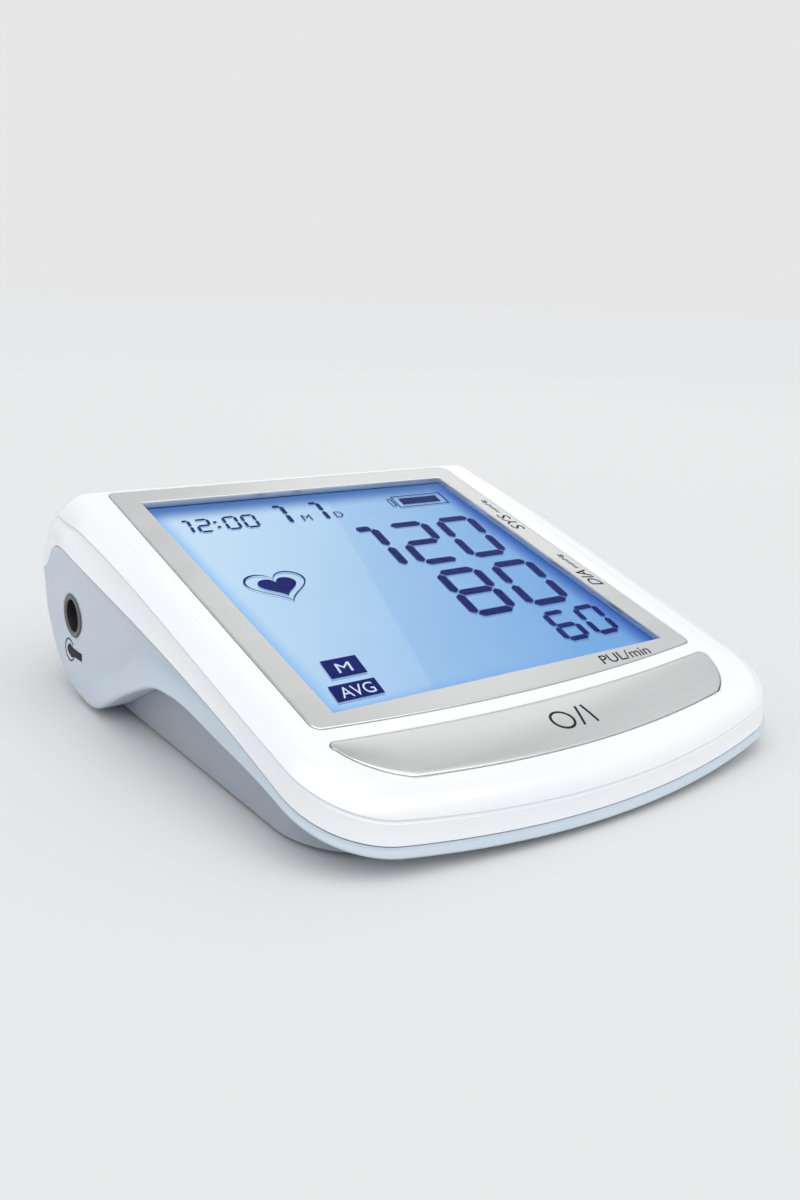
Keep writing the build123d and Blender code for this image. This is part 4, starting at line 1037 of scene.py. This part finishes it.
def on_button(x, v, n):
    """Points at a height above the crowned cap."""
    return on_face(x, v, button_height(np.asarray(x), np.asarray(v)) + n)


button_print = Print()
MARK_V, MARK_HALF, MARK_LINE = -68.0, 3.0, 0.62
outer, hole = ring_shape(MARK_HALF, MARK_HALF, MARK_LINE)
button_print.shape(outer + (-3.05, MARK_V), [hole + (-3.05, MARK_V)], 0.0, INK, on_button)
for foot_x, head_x in ((0.85, 3.2), (4.85, 4.85)):
    rising = np.linspace(0, 1, 16)
    middle = np.stack([foot_x + (head_x - foot_x) * rising, MARK_V + MARK_HALF * (2 * rising - 1)], 1)
    half_line = np.array((MARK_LINE / 2, 0.0))
    ribbon = np.concatenate([middle + half_line, (middle - half_line)[::-1]])
    button_print.shape(ribbon, [], 0.0, INK, on_button)
button_mark = new_piece("button_mark", button_print.points, button_print.faces, 40.0)
dress(button_mark, black_ink)
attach(button_mark, "button")


# Window. A plate of clear acrylic laid under the frame's lip, polished and coated against glare on both
# sides, so that it throws back little of the room.
clear_acrylic = skin_finish(
    "clear_acrylic", (0.97, 0.98, 1.0), (1.0, 1.0, 1.0), 0.0, 0.015, 20.0, 300.0, 0.005, 0.00001,
    Transmission_Weight=1.0, IOR=1.06
)
dress_nodes(clear_acrylic, "window_lens")


# Lit display. Under the window lie the polarising film, the two glasses and the light guide. The film glows
# sky blue from the lamps at its back edge, paler at the front left and deeper at the back right. A paler wedge
# over its left part is a painted reflection of the room, and the deep blue bands along the back and right are
# painted shade of the frame's inner wall.
def glow(name):
    """The lit film: a slow change of blue across the face, a painted reflection that makes its left part paler,
    and deeper bands along its edges, those along the back and right painted shade.
    """
    finish = skin_finish(
        name, (0.02, 0.03, 0.06), (0.03, 0.04, 0.08), 0.5, 0.1, 40.0, 900.0, 0.0, Specular_IOR_Level=0.0
    )
    tree = finish.node_tree
    shader = tree.nodes["Principled BSDF"]
    origin = Matrix.Rotation(-FACE_TILT, 3, "X") @ Vector(FACE_ORIGIN * MM)
    place = add_node(tree, "ShaderNodeTexCoord")
    flat = {"Vector": place.outputs["Object"], "Rotation": (-FACE_TILT, 0, 0), "Location": -origin}
    lay = add_node(tree, "ShaderNodeMapping", flat)
    split = add_node(tree, "ShaderNodeSeparateXYZ", {"Vector": lay.outputs["Vector"]})
    right, back = split.outputs["X"], split.outputs["Y"]

    def ranged(value, low, high, way="SMOOTHSTEP"):
        ends = {"Value": value, "From Min": low * MM, "From Max": high * MM}
        return add_node(tree, "ShaderNodeMapRange", ends, interpolation_type=way).outputs["Result"]

    def mixed(factor, a, b, way="MIX"):
        parts = {"Factor": factor, "A": a, "B": b}
        return add_node(tree, "ShaderNodeMix", parts, data_type="RGBA", blend_type=way).outputs["Result"]

    def past_line(lean, start):
        """Metres right of a line that leans right as it goes back and passes start at the middle."""
        ends = {0: back, 1: -lean, 2: -start * MM}
        leaned = add_node(tree, "ShaderNodeMath", ends, operation="MULTIPLY_ADD")
        return add_node(tree, "ShaderNodeMath", {0: right, 1: leaned.outputs[0]}).outputs[0]

    across = ranged(past_line(0.55, 0.0), -55.0, 60.0, "LINEAR")
    colour = mixed(across, (0.60, 0.81, 0.95, 1), (0.20, 0.44, 0.78, 1))
    # Painted reflection: past a slanting line the film is dimmed, so the wedge left of the line reads as the
    # room reflected in the window.
    beyond_painted_reflection = mixed(1.0, colour, (0.86, 0.92, 0.97, 1), "MULTIPLY")
    colour = mixed(ranged(past_line(0.30, -6.5), -0.6, 0.6), colour, beyond_painted_reflection)
    # Deeper blue bands along the edges; the darkest, along the right and back, are painted shade of the frame's
    # inner wall.
    for side, low, high, band in (
        (right, -42.0, -48.5, (0.24, 0.52, 0.93, 1)), (back, -43.0, -49.5, (0.16, 0.42, 0.90, 1)),
        (right, 41.5, 48.6, (0.05, 0.15, 0.52, 1)), (back, 37.5, 45.5, (0.07, 0.19, 0.50, 1)),
    ):
        colour = mixed(ranged(side, low, high), colour, band)
    tree.links.new(colour, shader.inputs["Emission Color"])
    shader.inputs["Emission Strength"].default_value = 0.9
    return finish


dress_nodes(glow("lit_film"), "polariser")


# Readings. The liquid crystal's dark figures: seven bars to a digit with pointed ends and thin gaps, leaning
# a little to the right. Each throws a faint shadow on the film below.
FIGURE_LEAN = 0.13
FILM_TOP = -2.75
FIGURE_LOW, FIGURE_HIGH = FILM_TOP + 0.022, FILM_TOP + 0.036
GHOST_LOW, GHOST_HIGH = FILM_TOP + 0.004, FILM_TOP + 0.012
GHOST_SHIFT = np.array((-0.45, -0.75))
BARS = {"0": "abcdef", "1": "hbc", "2": "abged", "6": "afgecd", "8": "abcdefg"}


def digit_bars(sign, right, foot, width, height, bar):
    """Centre, length, turn and foot of each bar of a digit whose right edge and foot are given."""
    reach, gap = (height - bar) / 2, bar * 0.13
    level, upright = width - bar - 2 * gap, reach - 2 * gap
    left_x, right_x, mid_x = right - width + bar / 2, right - bar / 2, right - width / 2
    low, mid, high = foot + bar / 2, foot + height / 2, foot + height - bar / 2
    spots = {
        "a": (mid_x, high, level, 0), "g": (mid_x, mid, level, 0), "d": (mid_x, low, level, 0),
        "h": (right_x - bar * 1.05, high, bar * 1.75, 0),
        "f": (left_x, (mid + high) / 2, upright, 1), "b": (right_x, (mid + high) / 2, upright, 1),
        "e": (left_x, (mid + low) / 2, upright, 1), "c": (right_x, (mid + low) / 2, upright, 1),
    }
    return [(*spots[key], bar, foot) for key in BARS[sign]]


figure_bars = []
for text, right, foot, width, height, bar, pitch in (
    ("120", 42.2, 2.2, 14.0, 23.5, 2.75, 17.0), ("80", 42.3, -24.1, 15.0, 22.9, 2.85, 18.6),
    ("60", 44.6, -40.4, 8.6, 13.5, 1.9, 10.6), ("00", -20.6, 31.8, 4.3, 7.3, 0.85, 5.4),
    ("12", -34.0, 31.8, 4.3, 7.3, 0.85, 5.4), ("1", -10.4, 31.3, 4.6, 11.2, 1.35, 1.0),
    ("1", 1.2, 31.3, 4.6, 11.2, 1.35, 1.0),
):
    for number, sign in enumerate(text[::-1]):
        figure_bars += digit_bars(sign, right - number * pitch, foot, width, height, bar)


def bar_tree(finish):
    """Nodes that turn a point for each bar into a pointed bar on the face."""
    takes = {
        "Points": "Geometry", "Lean": "Float", "Tip": "Float", "Thickness": "Float",
        "Tilt": "Vector", "Place": "Vector",
    }
    tree, given, result = node_group("figure_bars", "GeometryNodeTree", takes, {"Bars": "Geometry"})

    def attribute(name):
        return add_node(tree, "GeometryNodeInputNamedAttribute", {"Name": name}).outputs["Attribute"]

    def maths(operation, *values):
        return add_node(tree, "ShaderNodeMath", dict(enumerate(values)), operation=operation).outputs[0]

    def vector(**parts):
        return add_node(tree, "ShaderNodeCombineXYZ", parts).outputs[0]

    def place_parts():
        place = add_node(tree, "GeometryNodeInputPosition")
        return add_node(tree, "ShaderNodeSeparateXYZ", {0: place.outputs[0]}).outputs

    bar = add_node(tree, "GeometryNodeMeshCircle", {"Vertices": 6, "Radius": 1.0}, fill_type="NGON")
    corner = place_parts()
    blunt = maths("GREATER_THAN", maths("ABSOLUTE", corner[1]), 0.1)
    reach = maths("SUBTRACT", 0.5, maths("MULTIPLY", blunt, given.outputs["Tip"]))
    end_x = maths("MULTIPLY", maths("SIGN", corner[0]), reach)
    end_y = maths("MULTIPLY", maths("SIGN", corner[1]), maths("MULTIPLY", blunt, 0.5))
    pointed = {"Geometry": bar.outputs["Mesh"], "Position": vector(X=end_x, Y=end_y)}
    shaped = add_node(tree, "GeometryNodeSetPosition", pointed)
    upright = vector(Z=maths("MULTIPLY", attribute("upright"), math.pi / 2))
    turn = add_node(tree, "FunctionNodeEulerToRotation", {0: upright})
    placed = {
        "Points": given.outputs["Points"], "Instance": shaped.outputs[0], "Rotation": turn.outputs[0],
        "Scale": vector(X=attribute("length"), Y=attribute("bar"), Z=1.0),
    }
    repeat = add_node(tree, "GeometryNodeInstanceOnPoints", placed)
    real = add_node(tree, "GeometryNodeRealizeInstances", {0: repeat.outputs[0]})
    rise = maths("SUBTRACT", place_parts()[1], attribute("foot"))
    shift = vector(X=maths("MULTIPLY", rise, given.outputs["Lean"]))
    lean = add_node(tree, "GeometryNodeSetPosition", {"Geometry": real.outputs[0], "Offset": shift})
    thickened = {"Mesh": lean.outputs[0], "Offset Scale": given.outputs["Thickness"], "Individual": False}
    thick = add_node(tree, "GeometryNodeExtrudeMesh", thickened)
    flipped = add_node(tree, "GeometryNodeFlipFaces", {"Mesh": lean.outputs[0]})
    both = add_node(tree, "GeometryNodeJoinGeometry", {0: thick.outputs["Mesh"]})
    tree.links.new(flipped.outputs[0], both.inputs[0])
    merged = add_node(tree, "GeometryNodeMergeByDistance", {"Geometry": both.outputs[0], "Distance": 1e-6})
    moved = {
        "Geometry": merged.outputs[0], "Translation": given.outputs["Place"], "Rotation": given.outputs["Tilt"],
    }
    laid = add_node(tree, "GeometryNodeTransform", moved)
    painted(tree, laid.outputs[0], finish, result)
    return tree


def figures(name, finish, shift, low, high):
    """Every bar of the readings as one mesh of thin plates."""
    piece = new_piece(name, [(x, v, 0.0) for x, v, *_ in figure_bars], [])
    for column, (key, scale) in enumerate((("length", MM), ("upright", 1.0), ("bar", MM), ("foot", MM)), 2):
        layer = piece.data.attributes.new(key, "FLOAT", "POINT")
        layer.data.foreach_set("value", [bar[column] * scale for bar in figure_bars])
    values = {
        "Lean": FIGURE_LEAN, "Tip": 0.12, "Thickness": (high - low) * MM,
        "Tilt": (FACE_TILT, 0.0, 0.0), "Place": tuple(on_face(*shift, low) * MM),
    }
    laid_out(piece, bar_tree(finish), values, finish)
    return piece


def heart_outline(size, steps=72):
    """Outline of a heart, round at the top and pointed at the foot, about one unit wide."""
    turn = np.linspace(0, 2 * math.pi, steps, endpoint=False)
    x = np.sin(turn) ** 3
    v = (13 * np.cos(turn) - 5 * np.cos(2 * turn) - 2 * np.cos(3 * turn) - np.cos(4 * turn) + 2.5) / 14.6
    return np.stack([x * size[0] / 2, v * size[1] / 2], 1)[::-1]


def slanted_box(x0, x1, v0, v1, lean=FIGURE_LEAN):
    """Outline of a box whose sides lean like the figures."""
    rise = (v1 - v0) * lean
    return np.array([(x0, v0), (x1, v0), (x1 + rise, v1), (x0 + rise, v1)])


def symbols(name, finish, shift, low, high):
    """The heart, battery sign, date letters, colon and the two solid badges with clear letters."""
    art = Print()

    def place(x, v, n):
        return on_face(x + shift[0], v + shift[1], n)

    def line_box(x0, x1, v0, v1, line):
        inner = slanted_box(x0 + line, x1 - line, v0 + line, v1 - line)
        art.shape(slanted_box(x0, x1, v0, v1), [inner], low, high, place)

    heart = np.array((-31.6, 1.9))
    art.shape(heart_outline((16.3, 14.0)) + heart, [heart_outline((15.3, 12.9)) + heart], low, high, place)
    art.shape(heart_outline((10.1, 8.5)) + heart, [], low, high, place)
    line_box(26.2, 44.4, 34.1, 41.2, 0.45)
    line_box(24.3, 25.9, 35.2, 40.1, 0.4)
    art.shape(slanted_box(28.4, 42.2, 35.7, 39.6), [], low, high, place)
    for dot_v in (33.4, 36.1):
        art.shape(slanted_box(-32.6, -31.6, dot_v, dot_v + 1.0), [], low, high, place)
    for letter, start, wide in (("M", -7.2, 3.2), ("D", 3.3, 2.8)):
        flat, faces = letters(letter, wide, 3.3, FIGURE_LEAN)
        art.plate(flat + (start, 32.4), faces, low, high, place)
    art.shape(slanted_box(-40.2, -31.0, -35.9, -29.2), [], low, high, place)
    art.shape(slanted_box(-43.4, -31.6, -43.7, -38.1), [], low, high, place)
    piece = new_piece(name, art.points, art.faces, 40.0)
    dress(piece, finish)
    return piece


def display_ink(name, colour, second, rough, **constants):
    """A dull finish of the liquid crystal, which throws nothing back."""
    settings = {"Specular_IOR_Level": 0.0, **constants}
    return skin_finish(name, colour, second, rough, 0.1, 60.0, 900.0, 0.0, 0.00001, **settings)


navy = display_ink("figure_navy", (0.010, 0.016, 0.125), (0.014, 0.022, 0.15), 0.4)
ghost = display_ink("figure_shadow", (0.10, 0.18, 0.55), (0.12, 0.20, 0.58), 0.6, Alpha=0.30)
pale_clear = display_ink("badge_clear", (0.62, 0.72, 0.88), (0.66, 0.76, 0.9), 0.4)
for name, finish, shift, low, high in (
    ("", navy, (0.0, 0.0), FIGURE_LOW, FIGURE_HIGH), ("_shadow", ghost, GHOST_SHIFT, GHOST_LOW, GHOST_HIGH),
):
    for maker, kind in ((figures, "display_figures"), (symbols, "display_signs")):
        art_piece = maker(kind + name, finish, shift, low, high)
        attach(art_piece, "housing")
badge_print = Print()
for word, x, v, wide, tall in (("M", -37.3, -34.4, 4.2, 3.4), ("AVG", -41.4, -42.8, 8.8, 3.7)):
    flat, faces = letters(word, wide, tall, FIGURE_LEAN)
    badge_print.plate(flat + (x, v), faces, FIGURE_HIGH + 0.002, FIGURE_HIGH + 0.010, on_face)
badge_letters = new_piece("badge_letters", badge_print.points, badge_print.faces, 40.0)
dress(badge_letters, pale_clear)
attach(badge_letters, "housing")


# Air socket. A turned grey plastic socket in the left cheek for the cuff's plug: a round lip, a black bore
# and, inside, a flange and a small hose nozzle.
socket_mouth, socket_end = socket_low.x / MM, socket_high.x / MM
BORE, BORE_DEPTH, RING_EDGE, FLANGE_RADIUS, RING_STEPS = 3.95, 10.5, 0.35, 7.15, 72
ring_profile = [(socket_mouth + BORE_DEPTH, BORE - 0.02), (socket_mouth + 0.9, BORE)]
ring_profile += [(socket_mouth + 0.35, BORE + 0.12), (socket_mouth + 0.08, BORE + 0.4)]
ring_profile += [(socket_mouth, BORE + 0.6), (socket_mouth, SOCKET_RING - RING_EDGE)]
ring_profile += round_edge(socket_mouth, SOCKET_RING, RING_EDGE, 1)[1:]
ring_profile += [(socket_mouth + 2.3, SOCKET_RING), (socket_mouth + 2.3, FLANGE_RADIUS)]
ring_profile += [(socket_mouth + 4.3, FLANGE_RADIUS)]
ring_profile += [(socket_mouth + 4.3, SOCKET_RING), (socket_end - 4.0, SOCKET_RING), (socket_end - 4.0, 1.05)]
ring_profile += [(socket_end - 0.3, 1.05), (socket_end, 0.85), (socket_end, 0.5)]
ring_profile += [(socket_mouth + BORE_DEPTH, 0.5)]
bore_start = len(ring_profile) - 1
points, faces = turned(ring_profile, RING_STEPS, (0.0, SOCKET_Y, SOCKET_Z), "X")
faces += loop_faces(bore_start * RING_STEPS, 0, RING_STEPS)
socket_ring = new_piece("socket_ring", points, faces, 30.0)
socket_grey = skin_finish(
    "socket_grey", (0.10, 0.105, 0.115), (0.13, 0.135, 0.145), 0.35, 0.1, 80.0, 1800.0, 0.1
)
bore_black = skin_finish(
    "bore_black", (0.006, 0.006, 0.007), (0.01, 0.01, 0.011), 0.5, 0.1, 80.0, 1800.0, 0.1
)
dress(socket_ring, socket_grey, bore_black)
for face in socket_ring.data.polygons:
    from_line = math.hypot(face.center.y / MM - SOCKET_Y, face.center.z / MM - SOCKET_Z)
    if from_line < BORE + 0.15 and face.center.x / MM < socket_mouth + BORE_DEPTH + 0.1:
        face.material_index = 1
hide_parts("air_socket")
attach(socket_ring, "housing")


# Plug sign. A small dark print on the cheek below the socket: a plug with a round tip, and a thin line that
# curves round it.
shell_points = np.array([v.co for v in lower_shell.data.vertices]) / MM
cheek_side = shell_points[shell_points[:, 0] < -60]


def on_cheek(y, z, n):
    """Points on the left cheek's outside at places in side view, out by n."""
    y, z = np.broadcast_arrays(np.asarray(y, float), z)
    x = []
    for a, b in zip(y, z):
        distance = np.hypot(cheek_side[:, 1] - a, cheek_side[:, 2] - b)
        near = cheek_side[distance < 1.2]
        outer = near[near[:, 0] < near[:, 0].min() + 0.7]
        weight = 1 / (np.hypot(outer[:, 1] - a, outer[:, 2] - b) + 0.05) ** 2
        x.append((outer[:, 0] * weight).sum() / weight.sum())
    return np.column_stack([np.array(x) - n, y, z])


def stroke(points, line):
    """Outline of a line of even width along a few points, with round ends."""
    path = np.array(points, float)
    step = np.gradient(path, axis=0)
    step /= np.linalg.norm(step, axis=1)[:, None]
    side = np.stack([-step[:, 1], step[:, 0]], 1)
    turns = np.linspace(0, math.pi, 6)[1:-1]
    end = [path[-1] + line / 2 * (side[-1] * math.cos(a) + step[-1] * math.sin(a)) for a in turns]
    start = [path[0] - line / 2 * (side[0] * math.cos(a) + step[0] * math.sin(a)) for a in turns]
    return np.concatenate([path + side * line / 2, end, (path - side * line / 2)[::-1], start])


sign = Print()
SIGN_RISE, HOSE_LINE = 0.07, 0.34
plug_body = [(49.2, 14.7), (47.4, 14.0), (42.3, 13.8), (42.6, 11.7), (46.2, 11.8), (48.6, 11.2)]
plug_body += [(50.0, 11.9), (50.9, 12.5), (51.0, 13.1), (50.5, 14.1)]
sign.shape(np.array(plug_body), [], 0.0, SIGN_RISE, on_cheek)
round_plug = np.linspace(math.radians(140), math.radians(-140), 24)
hose = np.array((49.5, 13.0)) + (2.7, 2.8) * np.stack([np.cos(round_plug), np.sin(round_plug)], 1)
sign.shape(stroke(hose, HOSE_LINE), [], 0.0, SIGN_RISE, on_cheek)
plug_sign = new_piece("plug_sign", sign.points, sign.faces, 40.0)
dress(plug_sign, black_ink)
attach(plug_sign, "housing")


# Battery springs. Two conical springs of nickel-plated wire, one at the flat end of each row of cells. Each is
# wound from one wire and held in the bay by its wide end.
def spring_tree(finish):
    """Nodes that wind a conical spring and lay it along X at each point, turned by the point's side."""
    takes = {
        "Points": "Geometry", "Turns": "Float", "Wide Radius": "Float", "Narrow Radius": "Float",
        "Length": "Float", "Wire Radius": "Float",
    }
    tree, given, result = node_group("battery_spring", "GeometryNodeTree", takes, {"Springs": "Geometry"})
    wound = {
        "Resolution": 28, "Rotations": given.outputs["Turns"], "Start Radius": given.outputs["Wide Radius"],
        "End Radius": given.outputs["Narrow Radius"], "Height": given.outputs["Length"],
    }
    coil = add_node(tree, "GeometryNodeCurveSpiral", wound)
    round_wire = {"Resolution": 10, "Radius": given.outputs["Wire Radius"]}
    wire = add_node(tree, "GeometryNodeCurvePrimitiveCircle", round_wire)
    swept = {"Curve": coil.outputs[0], "Profile Curve": wire.outputs[0], "Fill Caps": True}
    solid = add_node(tree, "GeometryNodeCurveToMesh", swept)
    side = add_node(tree, "GeometryNodeInputNamedAttribute", {"Name": "side"}).outputs["Attribute"]
    angle = add_node(tree, "ShaderNodeMath", {0: side, 1: -math.pi / 2}, operation="MULTIPLY")
    facing = add_node(tree, "ShaderNodeCombineXYZ", {"Y": angle.outputs[0]})
    turn = add_node(tree, "FunctionNodeEulerToRotation", {0: facing.outputs[0]})
    placed = {"Points": given.outputs["Points"], "Instance": solid.outputs[0], "Rotation": turn.outputs[0]}
    repeat = add_node(tree, "GeometryNodeInstanceOnPoints", placed)
    real = add_node(tree, "GeometryNodeRealizeInstances", {0: repeat.outputs[0]})
    painted(tree, real.outputs[0], finish, result)
    return tree


nickel = skin_finish(
    "nickel_plate", (0.66, 0.64, 0.58), (0.72, 0.70, 0.64), 0.22, 0.1, 300.0, 2600.0, 0.1, Metallic=1.0
)
spring_boxes = clusters("battery_springs")
WIRE = 0.35
spring_ends = []
for low, high in spring_boxes:
    side = 1.0 if low[0] > 0 else -1.0
    outer_x = high[0] if side > 0 else low[0]
    spring_ends.append((outer_x - side * WIRE, (low[1] + high[1]) / 2, (low[2] + high[2]) / 2, side))
battery_coils = new_piece("battery_coils", [end[:3] for end in spring_ends], [])
layer = battery_coils.data.attributes.new("side", "FLOAT", "POINT")
layer.data.foreach_set("value", [end[3] for end in spring_ends])
coil_radius = (spring_boxes[0][1][1] - spring_boxes[0][0][1]) / 2 - WIRE
coil_length = spring_boxes[0][1][0] - spring_boxes[0][0][0] - 2 * WIRE
winding = {
    "Turns": 4.0, "Wide Radius": coil_radius * MM, "Narrow Radius": coil_radius * 0.62 * MM,
    "Length": coil_length * MM, "Wire Radius": WIRE * MM,
}
laid_out(battery_coils, spring_tree(nickel), winding, nickel)
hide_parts("battery_springs")
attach(battery_coils, "housing")


# Inside. The cells, the board with its parts, the pump, the valve and the hoses are out of sight in the closed
# housing. They keep the shapes they were drawn with and take the finishes of their kind.
INSIDE = {
    "display_glass": (
        (0.80, 0.88, 0.95), (0.84, 0.91, 0.97), 0.02, {"Transmission_Weight": 1.0, "IOR": 1.52}
    ),
    "guide_acrylic": ((0.86, 0.92, 1.0), (0.9, 0.95, 1.0), 0.05, {"Transmission_Weight": 1.0, "IOR": 1.49}),
    "white_film": ((0.86, 0.87, 0.88), (0.9, 0.9, 0.91), 0.45, {}),
    "holder_white": ((0.76, 0.77, 0.76), (0.8, 0.81, 0.8), 0.4, {}),
    "lamp_phosphor": ((0.80, 0.74, 0.38), (0.84, 0.78, 0.44), 0.35, {}),
    "board_green": ((0.02, 0.13, 0.06), (0.03, 0.17, 0.08), 0.25, {}),
    "chip_epoxy": ((0.012, 0.012, 0.013), (0.025, 0.025, 0.027), 0.5, {}),
    "ferrite": ((0.03, 0.03, 0.032), (0.05, 0.05, 0.052), 0.6, {}),
    "copper_wire": ((0.55, 0.22, 0.07), (0.62, 0.27, 0.10), 0.25, {"Metallic": 1.0}),
    "black_plastic": ((0.02, 0.02, 0.022), (0.035, 0.035, 0.038), 0.38, {}),
    "natural_acetal": ((0.66, 0.63, 0.55), (0.72, 0.69, 0.61), 0.35, {}),
    "clear_silicone": ((0.74, 0.77, 0.77), (0.8, 0.82, 0.82), 0.38, {"Subsurface_Weight": 0.2}),
    "dark_foam": ((0.03, 0.03, 0.032), (0.06, 0.06, 0.062), 0.85, {}),
    "cell_jacket": ((0.03, 0.05, 0.12), (0.04, 0.065, 0.15), 0.25, {"Coat_Weight": 0.4}),
}
WORN_BY = {
    "display_glass": ["front_glass", "rear_glass"],
    "guide_acrylic": ["light_guide"],
    "white_film": ["diffuser", "reflector"],
    "holder_white": ["lcd_holder"],
    "lamp_phosphor": ["backlight_leds"],
    "board_green": ["main_board", "button_board", "sensor_board", "led_strip"],
    "chip_epoxy": ["controller_chip", "board_chips"],
    "ferrite": ["pump_magnets"],
    "copper_wire": ["valve_coil"],
    "black_plastic": ["buzzer", "switch_body", "switch_plunger", "pump_head", "pump_cover", "pump_endcap"],
    "natural_acetal": ["wobble_plate", "manifold", "valve_seat", "pressure_sensor", "small_parts"],
    "clear_silicone": ["hose_socket", "hose_pump", "hose_valve", "hose_sensor"],
    "dark_foam": ["pump_cushions"],
    "cell_jacket": ["battery_cells"],
}
for name, (colour, second, rough, constants) in INSIDE.items():
    grain = 700.0 if name == "dark_foam" else 2000.0
    bump = 0.6 if name == "dark_foam" else 0.08
    finish = skin_finish(name, colour, second, rough, 0.08, 90.0, grain, bump, **constants)
    dress_nodes(finish, *WORN_BY[name])
dress_nodes(nickel, "battery_contacts", "crystal", "valve_spring")
dress_nodes(zinc, "board_screws", "capacitors", "pump_motor", "pump_rotor", "valve_frame", "valve_plunger")
dress_nodes(soft_rubber, "contact_strip", "diaphragm")
dress_nodes(satin_pale, "pump_cradle")
